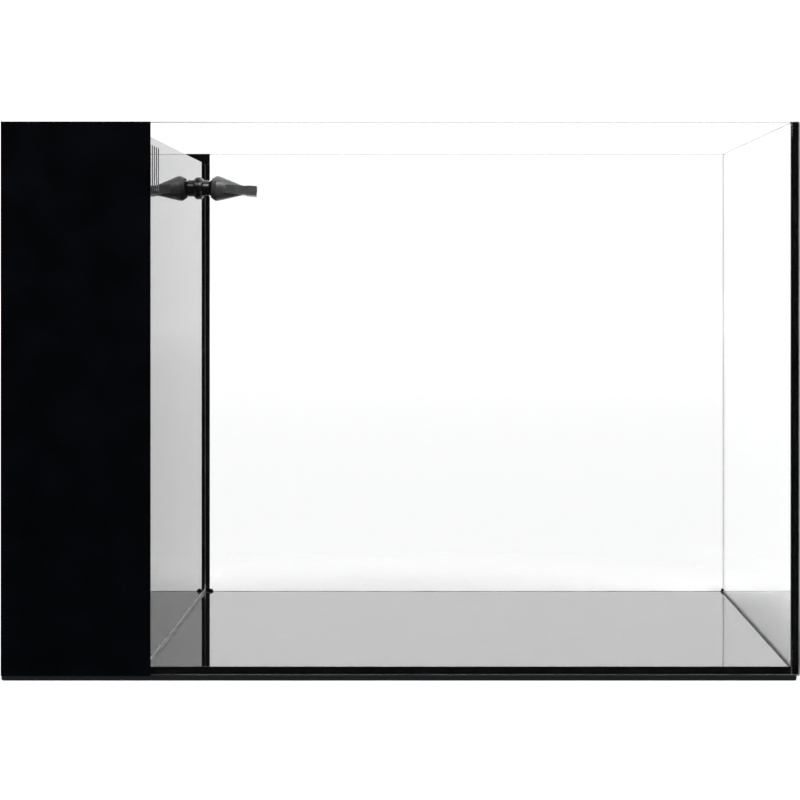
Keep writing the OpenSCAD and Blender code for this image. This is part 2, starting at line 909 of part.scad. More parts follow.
// Dial on the grille's face that covers more or less of its holes
module flow_dial() {
    color(plastic_grey) at_pump() translate([0, volute_l + grille_l + swing_gap, 0]) along_y() {
        difference() {
            cylinder(r = dial_r, h = dial_t);
            translate([0, 0, -cut]) dial_hole_ring(dial_t + 2 * cut);
        }
        translate([0, 0, -swing_gap - grille_t]) {
            cylinder(r = dial_pin_r, h = grille_t + swing_gap + dial_t);
        }
        translate([-dial_tab / 2, -dial_r - dial_tab, 0]) cube([dial_tab, 2 * dial_tab, dial_t]);
    }
}

// Blade in plan: an arc that leaves the hub along the radius and bends away towards the rim
module blade_shape() {
    intersection() {
        circle(impeller_r - blade_set);
        translate([shaft_r, -blade_t / 2]) square(impeller_r);
        translate([shaft_r, blade_curve]) difference() {
            circle(blade_curve + blade_t / 2);
            circle(blade_curve - blade_t / 2);
        }
    }
}

// Impeller: hub, back plate and blades
module impeller() {
    color(impeller_grey) at_pump() translate([0, impeller_y, 0]) along_y() difference() {
        union() {
            cylinder(r = impeller_r, h = back_plate_t);
            cylinder(r = shaft_r + hub_wall, h = impeller_l);
            for (i = [0 : blades - 1]) {
                rotate(i * 360 / blades) linear_extrude(impeller_l - hub_rise) blade_shape();
            }
        }
        translate([0, 0, -cut]) cylinder(r = shaft_r + run_gap, h = impeller_l + 2 * cut);
    }
}

module rotor_magnet() {
    color(magnet_grey) at_pump() translate([0, rotor_y, 0]) along_y() difference() {
        union() {
            cylinder(r = magnet_r, h = magnet_l);
            cylinder(r = shaft_r + hub_wall, h = impeller_y - rotor_y);
        }
        translate([0, 0, -cut]) cylinder(r = shaft_r + run_gap, h = impeller_y - rotor_y + 2 * cut);
    }
}

module rotor_shaft() {
    color(shaft_white) at_pump() translate([0, rear_bush_y + shaft_set, 0]) along_y() {
        cylinder(r = shaft_r, h = shaft_l);
    }
}

module bush() {
    difference() {
        cylinder(r = bush_r, h = bush_l);
        translate([0, 0, -cut]) cylinder(r = shaft_r, h = bush_l + 2 * cut);
    }
}

module shaft_bushes() {
    color(rubber_black) at_pump() {
        translate([0, rear_bush_y, 0]) along_y() bush();
        translate([0, cavity_l, 0]) along_y() bush();
    }
}

// O-ring in the groove of the spigot
module pump_oring() {
    color(rubber_black) at_pump() translate([0, spigot_l / 2, 0]) along_y() {
        rotate_extrude() translate([spigot_r + seat_gap - run_gap - ring_wire, 0]) circle(ring_wire);
    }
}

module suction_cups() {
    color(rubber_black) at_pump() for (x = [-1, 1], y = [-cup_inset, cup_inset - motor_l]) {
        translate([x * cup_x, y, -pump_h / 2 - cup_h]) {
            difference() {
                cylinder(r1 = cup_r, r2 = cup_neck_r, h = cup_h - cup_neck_l);
                cylinder(r1 = cup_r - cup_wall, r2 = cup_neck_r / 2, h = cup_h - cup_neck_l - cup_wall);
            }
            translate([0, 0, cup_h - cup_neck_l]) cylinder(r = cup_neck_r, h = cup_neck_l);
        }
    }
}

// Gland on top of the motor block
module cable_gland() {
    color(rubber_black) at_pump() translate([0, gland_l / 2 - motor_l, pump_h / 2]) {
        cylinder(r = gland_r, h = gland_head_l);
        translate([0, 0, gland_head_l]) {
            cylinder(r1 = gland_stem_r, r2 = gland_tip_r, h = gland_l - gland_head_l);
        }
        translate([0, 0, -gland_stem_l]) cylinder(r = gland_stem_r - run_gap, h = gland_stem_l);
    }
}

module pump_barb() {
    color(plastic_black) at_pump() translate([outlet_off, volute_l / 2, outlet_top]) difference() {
        union() {
            translate([0, 0, -barb_plug]) cylinder(r = tail_r - run_gap, h = barb_plug);
            cylinder(r = barb_hex_r, h = barb_hex_l, $fn = 6);
            translate([0, 0, barb_hex_l]) barb();
        }
        translate([0, 0, -barb_plug - cut]) {
            cylinder(r = line_bore, h = barb_plug + barb_hex_l + barb_l + 2 * cut);
        }
    }
}

module return_hose() {
    color(hose_clear) translate([hose_x, nozzle_y, hose_bottom]) difference() {
        cylinder(d = hose_od, h = hose_top - hose_bottom);
        translate([0, 0, -cut]) cylinder(d = hose_id, h = hose_top - hose_bottom + 2 * cut);
    }
}

// Spring band with two pinch ears
module hose_clamp() {
    difference() {
        union() {
            cylinder(r = hose_od / 2 + clamp_t, h = clamp_l);
            for (side = [-1, 1]) {
                translate([side * clamp_ear_x - clamp_t / 2, hose_od / 2, 0]) {
                    cube([clamp_t, clamp_t + clamp_ear, clamp_l]);
                }
            }
        }
        translate([0, 0, -cut]) cylinder(r = hose_od / 2 + run_gap, h = clamp_l + 2 * cut);
    }
}

module hose_clamps() {
    color(plastic_black) translate([hose_x, nozzle_y, 0]) {
        translate([0, 0, hose_bottom + clamp_set]) hose_clamp();
        translate([0, 0, hose_top - clamp_set - clamp_l]) hose_clamp();
    }
}

// Elbow from the wall fitting's tail down into the hose
module elbow_barb() {
    color(plastic_black) translate([hose_x, nozzle_y, nozzle_z]) difference() {
        union() {
            translate([elbow_r, 0, 0]) along_x() cylinder(r = tail_r + socket_wall, h = elbow_socket_l);
            translate([elbow_r, 0, -elbow_r]) rotate([90, 0, 0]) rotate(90) rotate_extrude(angle = 90) {
                translate([elbow_r, 0]) circle(elbow_pipe_r);
            }
            translate([0, 0, -elbow_r - elbow_drop]) cylinder(r = hose_od / 2, h = elbow_drop);
            translate([0, 0, -elbow_r - elbow_drop]) rotate([180, 0, 0]) barb();
        }
        translate([elbow_r + elbow_socket_l - tail_bite, 0, 0]) along_x() {
            cylinder(r = tail_r + run_gap, h = tail_bite + cut);
        }
        translate([elbow_r, 0, 0]) along_x() cylinder(r = line_bore, h = elbow_socket_l);
        translate([elbow_r, 0, -elbow_r]) rotate([90, 0, 0]) rotate(90) rotate_extrude(angle = 90) {
            translate([elbow_r, 0]) circle(line_bore);
        }
        translate([0, 0, -elbow_r - elbow_drop - barb_l - cut]) {
            cylinder(r = line_bore, h = elbow_drop + barb_l + cut);
        }
    }
}

module bulkhead_nut() {
    color(plastic_black) translate([wall_l - gasket_t - nut_l, nozzle_y, nozzle_z]) along_x() {
        difference() {
            cylinder(r = nut_r, h = nut_l, $fn = 6);
            translate([0, 0, -cut]) cylinder(r = tail_r + run_gap, h = nut_l + 2 * cut);
        }
    }
}

module bulkhead_gasket() {
    color(rubber_black) translate([wall_l - gasket_t, nozzle_y, nozzle_z]) along_x() difference() {
        cylinder(r = gasket_r, h = gasket_t);
        translate([0, 0, -cut]) cylinder(r = tail_r + run_gap, h = gasket_t + 2 * cut);
    }
}

// Wall fitting: a rounded collar, a threaded tail and the seat of the swivel stem
module bulkhead_body() {
    tail_l = wall_t + gasket_t + nut_l + seat_gap + tail_bite;
    color(plastic_black) at_nozzle() along_x() difference() {
        rotate_extrude() {
            square([collar_r - collar_round, collar_l]);
            square([collar_r, collar_l - collar_round]);
            intersection() {
                translate([collar_r - collar_round, collar_l - collar_round]) circle(collar_round);
                square([collar_r, collar_l]);
            }
            translate([0, -tail_l]) square([tail_r, tail_l]);
        }
        translate([0, 0, -tail_l - cut]) cylinder(r = line_bore, h = tail_l + 2 * cut);
        translate([0, 0, -stem_l]) cylinder(r = stem_r + run_gap, h = stem_l + collar_l + cut);
        translate([0, 0, -stem_l]) cylinder(r = stem_r + snap + swing_gap / 2, h = snap_room);
    }
}

// Swivel neck: a stem with a snap ridge and an O-ring groove, a waist, and a ball
module swivel_neck() {
    waist_at = collar_l + swing_gap;
    color(plastic_black) at_nozzle() along_x() difference() {
        union() {
            translate([0, 0, swing_gap - stem_l]) cylinder(r = stem_r, h = stem_l + waist_at - swing_gap);
            translate([0, 0, 2 * swing_gap - stem_l]) cylinder(r1 = stem_r, r2 = stem_r + snap, h = snap_l);
            translate([0, 0, waist_at]) cylinder(r = waist_r, h = waist_end - waist_at);
            translate([0, 0, waist_at]) cylinder(r = neck_r, h = ball_reach - waist_at);
            translate([0, 0, ball_reach]) difference() {
                sphere(ball_r);
                translate([-ball_r, -ball_r, ball_cut]) cube(2 * ball_r);
            }
        }
        translate([0, 0, -stem_l - cut]) {
            cylinder(r = passage_r, h = stem_l + ball_reach + ball_r + 2 * cut);
        }
        translate([0, 0, -oring_depth - 2 * oring_r]) difference() {
            cylinder(r = stem_r + cut, h = 4 * oring_r);
            translate([0, 0, -cut]) cylinder(r = stem_r - 2 * oring_r, h = 4 * oring_r + 2 * cut);
        }
    }
}

module neck_oring() {
    color(rubber_black) at_nozzle() translate([-oring_depth, 0, 0]) along_x() {
        rotate_extrude() translate([stem_r - oring_r, 0]) circle(oring_r);
    }
}

// Outline of the fan in plan between two distances from the ball, less a margin at its sides
module fan_plan(from, to, margin) {
    slope = (flare_w / 2 - fan_root) / (flare_l - fan_start);
    half_from = flare_w / 2 - margin - slope * (flare_l - from);
    half_to = flare_w / 2 - margin - slope * (flare_l - to);
    polygon([[from, -half_from], [to, -half_to], [to, half_to], [from, half_from]]);
}

// Flat slab of the fan of the given height
module fan(from, to, margin, h) {
    translate([0, 0, -h / 2]) linear_extrude(h) fan_plan(from, to, margin);
}

// Half section of the flare's socket and cone, with the axis along Y
module socket_profile() {
    intersection() {
        union() {
            circle(socket_r);
            polygon([[0, 0], socket_r * [cos(cone_from), sin(cone_from)], [cone_tip, cone_l], [0, cone_l]]);
        }
        polygon([
            [0, mouth_x], [rim_r, mouth_x], [socket_r, mouth_x + rim_l], [socket_r, cone_l], [0, cone_l]
        ]);
    }
}

// Half section of the room for the ball and of the water's way to the slit
module socket_room() {
    intersection() {
        union() {
            circle(ball_r + 2 * run_gap);
            polygon([[0, 0], [flare_bore, 0], [slit_h / 2 - lip_step, cone_l], [0, cone_l]]);
        }
        translate([0, -flare_l]) square([flare_l, 2 * flare_l]);
    }
}

// Flare: a ball socket whose cone runs out into a flat fan with a raised lip
module flare_nozzle() {
    color(plastic_grey) at_nozzle() translate([ball_reach, 0, 0]) rotate([0, flare_tilt, flare_turn]) {
        difference() {
            union() {
                along_x() rotate_extrude() socket_profile();
                fan(fan_start, flare_l, 0, fan_h);
                fan(cone_l, flare_l, 0, lip_h);
            }
            along_x() rotate_extrude() socket_room();
            fan(ball_r + flare_wall, flare_l + cut, flare_wall, slit_h);
        }
    }
}

bottom_pane();
front_pane();
back_pane();
left_pane();
right_pane();
seam_front_left();
seam_front_right();
seam_back_left();
seam_back_right();
seam_bottom();
front_film();
left_film();
back_film();
levelling_mat();
overflow_wall();
wall_beads();
sock_divider();
pump_divider();
divider_beads();
sock_ledges();
sock_plate();
sock_ring();
sock_bag();
media_basket();
basket_trays();
bio_block();
coarse_sponge();
floss_pad();
pump_motor();
pump_volute();
intake_grille();
flow_dial();
impeller();
rotor_magnet();
rotor_shaft();
shaft_bushes();
pump_oring();
suction_cups();
cable_gland();
pump_barb();
return_hose();
hose_clamps();
elbow_barb();
bulkhead_nut();
bulkhead_gasket();
bulkhead_body();
swivel_neck();
neck_oring();
flare_nozzle();
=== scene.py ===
import bmesh
import bpy
import numpy as np
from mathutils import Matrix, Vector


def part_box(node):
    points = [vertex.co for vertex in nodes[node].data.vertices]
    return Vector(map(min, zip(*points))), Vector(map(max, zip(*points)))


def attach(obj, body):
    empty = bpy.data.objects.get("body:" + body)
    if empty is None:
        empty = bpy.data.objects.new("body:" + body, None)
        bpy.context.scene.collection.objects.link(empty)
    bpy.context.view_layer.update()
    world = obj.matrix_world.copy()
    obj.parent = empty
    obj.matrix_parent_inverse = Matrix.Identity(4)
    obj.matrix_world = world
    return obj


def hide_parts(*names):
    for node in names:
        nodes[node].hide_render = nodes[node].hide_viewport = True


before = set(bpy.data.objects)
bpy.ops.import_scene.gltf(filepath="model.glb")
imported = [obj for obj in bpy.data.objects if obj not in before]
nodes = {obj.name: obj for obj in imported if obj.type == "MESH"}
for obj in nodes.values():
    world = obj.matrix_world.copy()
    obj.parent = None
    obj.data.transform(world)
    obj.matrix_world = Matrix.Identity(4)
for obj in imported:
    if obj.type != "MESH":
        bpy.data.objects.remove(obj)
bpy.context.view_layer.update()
mm = 0.001


# lowest and highest corner of a node, as arrays in metres
def boxOf(node):
    low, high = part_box(node)
    return np.array(low), np.array(high)


frontBox = boxOf("front_pane")
floorBox = boxOf("bottom_pane")
wallBox = boxOf("overflow_wall")
tank = {  # faces of the glass box that the pieces below are set against
    "outLeft": frontBox[0][0],
    "outRight": frontBox[1][0],
    "outFront": frontBox[0][1],
    "outBack": boxOf("back_pane")[1][1],
    "left": boxOf("left_pane")[1][0],
    "right": boxOf("right_pane")[0][0],
    "front": frontBox[1][1],
    "back": boxOf("back_pane")[0][1],
    "under": floorBox[0][2],
    "floor": floorBox[1][2],
    "rim": frontBox[1][2],
}
bondThick = floorBox[0][1] - tank["front"]
sink = 0.05 * mm  # how far silicone, film and mat sit in the glass, so that they wet it

# camera at the photograph's view: level, square to the front pane
photoView = {
    "place": (0.0277, -1.3276, 0.2489),
    "lens": 84.68,
    "sensor": 36.0,
    "shift": (-0.0558, -0.1462),
}


def placeCamera(view):
    lens = bpy.data.cameras.new("photoCamera")
    lens.lens = view["lens"]
    lens.sensor_width = view["sensor"]
    lens.shift_x, lens.shift_y = view["shift"]
    lens.clip_end = 500.0
    camera = bpy.data.objects.new("photoCamera", lens)
    camera.location = view["place"]
    camera.rotation_euler = (np.pi / 2, 0, 0)
    bpy.context.collection.objects.link(camera)
    bpy.context.scene.camera = camera


placeCamera(photoView)
print("camera placed")


# node of the given kind in a material's or the world's tree, with its properties set
def addNode(tree, kind, **settings):
    node = tree.nodes.new("ShaderNode" + kind)
    for key, value in settings.items():
        setattr(node, key, value)
    return node


# sets or links the inputs of a node by name or number
def wire(tree, node, inputs):
    for key, value in inputs.items():
        if isinstance(value, bpy.types.NodeSocket):
            tree.links.new(value, node.inputs[key])
        else:
            node.inputs[key].default_value = value
    return node


# Math node on two values or sockets
def calc(tree, operation, first, second=0.0):
    node = addNode(tree, "Math", operation=operation)
    return wire(tree, node, {0: first, 1: second}).outputs[0]


# product of values or sockets
def product(tree, first, *others):
    for other in others:
        first = calc(tree, "MULTIPLY", first, other)
    return first


# value that goes from one to another as the share rises
def between(tree, share, first, second):
    rise = calc(tree, "SUBTRACT", second, first)
    return calc(tree, "ADD", product(tree, rise, share), first)


# step of a value from one range to another, smooth or straight
def ramp(tree, value, fromLow, fromHigh, toLow, toHigh, smooth=True):
    kind = "SMOOTHSTEP" if smooth else "LINEAR"
    node = addNode(tree, "MapRange", interpolation_type=kind)
    wire(tree, node, {"Value": value, "From Min": fromLow, "From Max": fromHigh})
    return wire(tree, node, {"To Min": toLow, "To Max": toHigh}).outputs["Result"]


# noise in the piece's own coordinates, with features of the given size in metres
def noise(tree, size, detail, stretch=(1, 1, 1)):
    place = addNode(tree, "TexCoord").outputs["Object"]
    mapping = wire(tree, addNode(tree, "Mapping"), {"Vector": place, "Scale": stretch})
    inputs = {"Vector": mapping.outputs[0], "Scale": 1 / size, "Detail": detail, "Roughness": 0.5}
    return wire(tree, addNode(tree, "TexNoise"), inputs).outputs["Fac"]


# distance from the middle of the nearest of many small cells of the given size in metres
def cellPattern(tree, size):
    place = addNode(tree, "TexCoord").outputs["Object"]
    inputs = {"Vector": place, "Scale": 1 / size}
    return wire(tree, addNode(tree, "TexVoronoi"), inputs).outputs["Distance"]


# colour that runs from one tone to another as a value goes from low to high
def tones(tree, value, low, high, dark, light):
    node = addNode(tree, "ValToRGB")
    node.color_ramp.elements[0].position = low
    node.color_ramp.elements[1].position = high
    node.color_ramp.elements[0].color = (*dark, 1)
    node.color_ramp.elements[1].color = (*light, 1)
    return wire(tree, node, {"Fac": value}).outputs["Color"]


# normal that a pattern of the given depth in metres leaves on a surface
def bump(tree, height, distance, strength):
    inputs = {"Height": height, "Distance": distance, "Strength": strength}
    return wire(tree, addNode(tree, "Bump"), inputs).outputs["Normal"]


# new material with constants on its Principled shader
def newFinish(name, constants):
    material = bpy.data.materials.new(name)
    material.use_nodes = True
    tree = material.node_tree
    shader = tree.nodes["Principled BSDF"]
    wire(tree, shader, constants)
    return material, tree, shader


# soft studio light: white behind and above the tank, dark in front of it, so that black stays black;
# heights are sines of the angle above the horizon
studio = {
    "behind": (1.34, 1.5),  # brightness behind the tank, low down
    "behindHeights": (0.0, 0.17),
    "behindRise": 0.37,  # what is added above it
    "riseHeights": (0.14, 0.22),
    "front": (0.025, 0.6),  # brightness in front, at the horizon and above
    "frontHeights": (0.05, 0.45),
    "turnOver": (-0.3, 0.3),  # y of the directions between which front goes over into behind
    "stripStrength": 8.0,  # strip light above the camera
    "stripBegins": (0.5, 0.62),
    "stripEnds": (0.78, 0.9),
    "stripAhead": (-0.35, -0.15),  # y of the directions where it runs out
    "seenShare": 0.88,  # how much of the light behind shows where it is seen directly
    "twiceShare": 0.62,  # how much is left of it after the floor and the overflow wall have mirrored it
    "twiceHeights": (0.1, 0.14),
    "twiceRight": (0.0, 0.03),  # x of the directions where that begins
}


def lightStudio(light):
    world = bpy.data.worlds.new("studioLight")
    bpy.context.scene.world = world
    world.use_nodes = True
    tree = world.node_tree
    direction = addNode(tree, "TexCoord").outputs["Generated"]
    alongX, alongY, upward = wire(tree, addNode(tree, "SeparateXYZ"), {0: direction}).outputs
    lowDown = ramp(tree, upward, *light["behindHeights"], *light["behind"], smooth=False)
    above = ramp(tree, upward, *light["riseHeights"], 0.0, light["behindRise"])
    behind = calc(tree, "ADD", lowDown, above)
    strip = product(
        tree,
        ramp(tree, upward, *light["stripBegins"], 0.0, light["stripStrength"]),
        ramp(tree, upward, *light["stripEnds"], 1.0, 0.0),
        ramp(tree, alongY, *light["stripAhead"], 1.0, 0.0),
    )
    front = calc(tree, "ADD", ramp(tree, upward, *light["frontHeights"], *light["front"]), strip)
    around = between(tree, ramp(tree, alongY, *light["turnOver"], 0.0, 1.0), front, behind)
    path = addNode(tree, "LightPath").outputs
    bounces = calc(tree, "ADD", path["Diffuse Depth"], path["Glossy Depth"])
    through = product(tree, path["Is Transmission Ray"], calc(tree, "LESS_THAN", bounces, 0.5))
    direct = calc(tree, "MAXIMUM", path["Is Camera Ray"], through)
    doubled = product(
        tree,
        ramp(tree, alongX, *light["twiceRight"], 0.0, 1.0),
        ramp(tree, upward, *light["twiceHeights"], 0.0, 1.0),
        ramp(tree, path["Glossy Depth"], 1.4, 1.6, 0.0, 1.0),  # from the second mirror on
    )
    reflected = product(tree, around, ramp(tree, doubled, 0.0, 1.0, 1.0, light["twiceShare"]))
    seen = between(tree, direct, reflected, product(tree, behind, light["seenShare"]))
    wire(tree, tree.nodes["Background"], {"Color": (1, 1, 1, 1), "Strength": seen})
    bpy.context.scene.view_settings.view_transform = "Standard"


lightStudio(studio)


# quads of a grid; a closed direction joins its last line to its first
def gridQuads(rows, columns, closeRows, closeColumns):
    rowCount = rows if closeRows else rows - 1
    columnCount = columns if closeColumns else columns - 1
    row, column = np.meshgrid(np.arange(rowCount), np.arange(columnCount), indexing="ij")
    rowNext = (row + 1) % rows
    columnNext = (column + 1) % columns
    corners = [row * columns + column, row * columns + columnNext]
    corners += [rowNext * columns + columnNext, rowNext * columns + column]
    return np.stack(corners, axis=-1).reshape(-1, 4)


# grid of points (rows, columns, 3) with the directions that close and the ends that get a lid
def grid(points, closeRows, closeColumns, lids=False):
    return {"points": points, "closeRows": closeRows, "closeColumns": closeColumns, "lids": lids}


# object whose mesh is made of grids, faces outwards and smooth below the given angle
def gridPiece(name, grids, material, smoothAngle):
    places, faces, start = [], [], 0
    for part in grids:
        rows, columns, _ = part["points"].shape
        places.append(part["points"].reshape(-1, 3))
        quads = gridQuads(rows, columns, part["closeRows"], part["closeColumns"])
        faces += (quads + start).tolist()
        if part["lids"]:
            ring = np.arange(columns)
            faces += [(ring + start).tolist(), (ring + start + (rows - 1) * columns).tolist()]
        start += rows * columns
    mesh = bpy.data.meshes.new(name)
    mesh.from_pydata(np.concatenate(places).tolist(), [], faces)
    shape = bmesh.new()
    shape.from_mesh(mesh)
    bmesh.ops.recalc_face_normals(shape, faces=shape.faces)
    shape.to_mesh(mesh)
    shape.free()
    mesh.polygons.foreach_set("use_smooth", np.ones(len(mesh.polygons), dtype=bool))
    mesh.set_sharp_from_angle(angle=np.radians(smoothAngle))
    mesh.materials.append(material)
    piece = bpy.data.objects.new(name, mesh)
    bpy.context.collection.objects.link(piece)
    return piece


# piece on a body, hiding the CAD nodes that it stands for; its slot is not used
def seatPiece(piece, body, slot, *replaced):
    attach(piece, body)
    if replaced:
        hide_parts(*replaced)


# gives CAD nodes a finish
def dressNodes(material, *names):
    for name in names:
        nodes[name].data.materials.clear()
        nodes[name].data.materials.append(material)


# pale floor under the tank, lit near by and glowing further off, with a painted contact shadow beside the
# tank's right side; distances in metres
floorLook = {
    "tone": (0.7, 0.7, 0.7),
    "rough": 0.9,
    "reach": 60.0,
    "rings": 24,
    "spokes": 64,
    "glowFrom": (0.19, 0.42),  # distances between which the glow takes over
    "glow": (1.11, 1.33),  # its strength at these two distances
    "glowAt": (1.0, 9.0),
    "gap": (-0.17, -0.152),  # y where the floor in front stops showing in reflections
    "gapGlow": 0.025,  # what they show there instead: a dim glow, painted darkness
    "shade": 0.68,  # how dark the painted contact shadow is beside the tank's right side
    "shadeWide": 0.09,
    "shadeUnder": 0.015,  # how far it runs in under the tank
    "shadeFront": (-0.15, -0.09),
    "shadeBack": (0.13, 0.24),
}


# shader that goes from one to another as the share rises
def shaderMix(tree, share, first, second):
    return wire(tree, addNode(tree, "MixShader"), {0: share, 1: first, 2: second}).outputs[0]


# shader that glows white
def glowing(tree, strength):
    return wire(tree, addNode(tree, "Emission"), {"Strength": strength}).outputs[0]


def floorFinish(look):
    constants = {"Base Color": (*look["tone"], 1), "Roughness": look["rough"], "Specular IOR Level": 0.0}
    material, tree, shader = newFinish("studioFloor", constants)
    place = addNode(tree, "TexCoord").outputs["Object"]
    alongX, alongY, _ = wire(tree, addNode(tree, "SeparateXYZ"), {0: place}).outputs
    away = wire(tree, addNode(tree, "VectorMath", operation="LENGTH"), {0: place}).outputs["Value"]
    glow = glowing(tree, ramp(tree, away, *look["glowAt"], *look["glow"], smooth=False))
    farther = ramp(tree, away, *look["glowFrom"], 0.0, 1.0)
    surface = shaderMix(tree, farther, shader.outputs[0], glow)
    # painted dark reflection: mirrored rays see only a dim glow where the floor lies in front of the tank
    bounced = calc(tree, "GREATER_THAN", addNode(tree, "LightPath").outputs["Glossy Depth"], 0.5)
    mirrored = product(tree, ramp(tree, alongY, *look["gap"], 1.0, 0.0), bounced)
    surface = shaderMix(tree, mirrored, surface, glowing(tree, look["gapGlow"]))
    edge = tank["outRight"]
    # painted contact shadow: the floor goes over to black beside the tank's right side
    paintedShadow = product(
        tree,
        ramp(tree, alongX, edge, edge + look["shadeWide"], look["shade"], 0.0),
        ramp(tree, alongX, edge - look["shadeUnder"], edge, 0.0, 1.0),
        ramp(tree, alongY, *look["shadeBack"], 1.0, 0.0),
        ramp(tree, alongY, *look["shadeFront"], 0.0, 1.0),
    )
    surface = shaderMix(tree, paintedShadow, surface, glowing(tree, 0.0))
    tree.links.new(surface, tree.nodes["Material Output"].inputs["Surface"])
    return material


# floor: rings that widen from the middle, radius = reach * s^3, with a lid over the innermost
def makeFloor(look):
    rings, spokes = look["rings"], look["spokes"]
    turns = np.linspace(0, 2 * np.pi, spokes, endpoint=False)
    step, turn = np.meshgrid(np.linspace(0.02, 1, rings), turns, indexing="ij")
    radius = look["reach"] * step**3
    points = np.stack([radius * np.cos(turn), radius * np.sin(turn), np.zeros_like(turn)], axis=-1)
    quads = gridQuads(rings, spokes, False, True).tolist() + [list(range(spokes))]
    mesh = bpy.data.meshes.new("studioFloor")
    mesh.from_pydata(points.reshape(-1, 3).tolist(), [], quads)
    mesh.materials.append(floorFinish(look))
    floor = bpy.data.objects.new("studioFloor", mesh)
    bpy.context.collection.objects.link(floor)


makeFloor(floorLook)
print("studio lit")

# clear float glass: polished faces, ground arrises, a faint green in its depth
glass = {"index": 1.5, "arrisRough": 0.35, "squareFrom": 0.95, "tint": (0.72, 0.92, 0.88), "density": 2.0}


def glassFinish(look):
    constants = {"Base Color": (1, 1, 1, 1), "Transmission Weight": 1.0, "IOR": look["index"]}
    material, tree, shader = newFinish("clearGlass", constants)
    normal = addNode(tree, "NewGeometry").outputs["True Normal"]
    size = wire(tree, addNode(tree, "VectorMath", operation="ABSOLUTE"), {0: normal})
    x, y, z = wire(tree, addNode(tree, "SeparateXYZ"), {0: size.outputs[0]}).outputs
    largest = calc(tree, "MAXIMUM", calc(tree, "MAXIMUM", x, y), z)
    slant = calc(tree, "LESS_THAN", largest, look["squareFrom"])
    wire(tree, shader, {"Roughness": product(tree, slant, look["arrisRough"])})
    tint = {"Color": (*look["tint"], 1), "Density": look["density"]}
    depth = wire(tree, addNode(tree, "VolumeAbsorption"), tint)
    tree.links.new(depth.outputs[0], tree.nodes["Material Output"].inputs["Volume"])
    return material


dressNodes(glassFinish(glass), "bottom_pane", "front_pane", "back_pane", "left_pane", "right_pane")

# black silicone: tooled smooth, with small dull patches
blackSilicone = {
    "dark": (0.002, 0.002, 0.0025),
    "light": (0.005, 0.005, 0.006),
    "gloss": (0.28, 0.5),
    "constants": {"IOR": 1.41, "Specular IOR Level": 0.04},
}
toolMarks = {"patch": 6 * mm, "ripple": 1.2 * mm, "rippleDeep": 0.06 * mm}


# ripples left by the tool or the die, as a normal
def rippled(tree, marks):
    return bump(tree, noise(tree, marks["ripple"], 2.0), marks["rippleDeep"], 0.5)


def siliconeFinish(name, look, marks):
    material, tree, shader = newFinish(name, look["constants"])
    patches = noise(tree, marks["patch"], 4.0)
    wire(tree, shader, {
        "Base Color": tones(tree, patches, 0.3, 0.7, look["dark"], look["light"]),
        "Roughness": ramp(tree, patches, 0.3, 0.7, *look["gloss"]),
        "Normal": rippled(tree, marks),
    })
    return material


blackSealant = siliconeFinish("blackSilicone", blackSilicone, toolMarks)
seam = {
    "leg": 0.12 * mm,  # what shows above the floor
    "legWaver": 0.85,
    "legRun": 1.6,  # about the length of the run round the floor, in metres
    "waver": 0.25,
    "hollow": 0.2 * mm,
    "frontBond": (1.3 * mm, 4.85 * mm),  # depths in a side pane's edge, from inside, that are filled
    "backBond": (0.1 * mm, 3.0 * mm),
    "rimGap": 0.5 * mm,
    "arcSteps": 6,
    "step": 4 * mm,
    "sideSteps": 120,
}


# how wide a bead is along its run: one, give or take a share, as three sines of different lengths
def waver(along, share, seed):
    middling = np.sin(210 * along + seed)
    short = 0.7 * np.sin(540 * along + 2.3 * seed)
    long = 0.5 * np.sin(95 * along + 4 * seed)
    return 1 + share * (middling + short + long) / 2.2


# upright seam: the bond between two panes, from one depth in the pane's edge to another, with both ends
# drawn hollow by a sine; the section is carried up Z
def cornerSeam(size, sideX, endY, outward, inward, depths, seed):
    low, high = tank["under"], tank["rim"] - size["rimGap"]
    up = np.linspace(low, high, int((high - low) / size["step"]))
    share = np.linspace(0, 1, size["arcSteps"])[None, :]
    hollow = size["hollow"] * np.sin(np.pi * share) * waver(up, size["waver"], seed)[:, None]
    deep = -sink + share * (bondThick + 2 * sink) + 0 * hollow
    across = np.concatenate([depths[0] + hollow, depths[1] - hollow[:, ::-1]], axis=1)
    deep = np.concatenate([deep, deep[:, ::-1]], axis=1)
    height = np.repeat(up[:, None], across.shape[1], axis=1)
    points = np.stack([sideX + outward * across, endY + inward * deep, height], axis=-1)
    return grid(points, False, True, True)


corners = {
    "seam_front_left": (tank["left"], tank["front"], -1, 1, seam["frontBond"]),
    "seam_front_right": (tank["right"], tank["front"], 1, 1, seam["frontBond"]),
    "seam_back_left": (tank["left"], tank["back"], -1, -1, seam["backBond"]),
    "seam_back_right": (tank["right"], tank["back"], 1, -1, seam["backBond"]),
}
for seed, (node, corner) in enumerate(corners.items()):
    upright = gridPiece(node + ".bead", [cornerSeam(seam, *corner, 1.0 + seed)], blackSealant, 50)
    seatPiece(upright, "tank", "black_silicone", node)


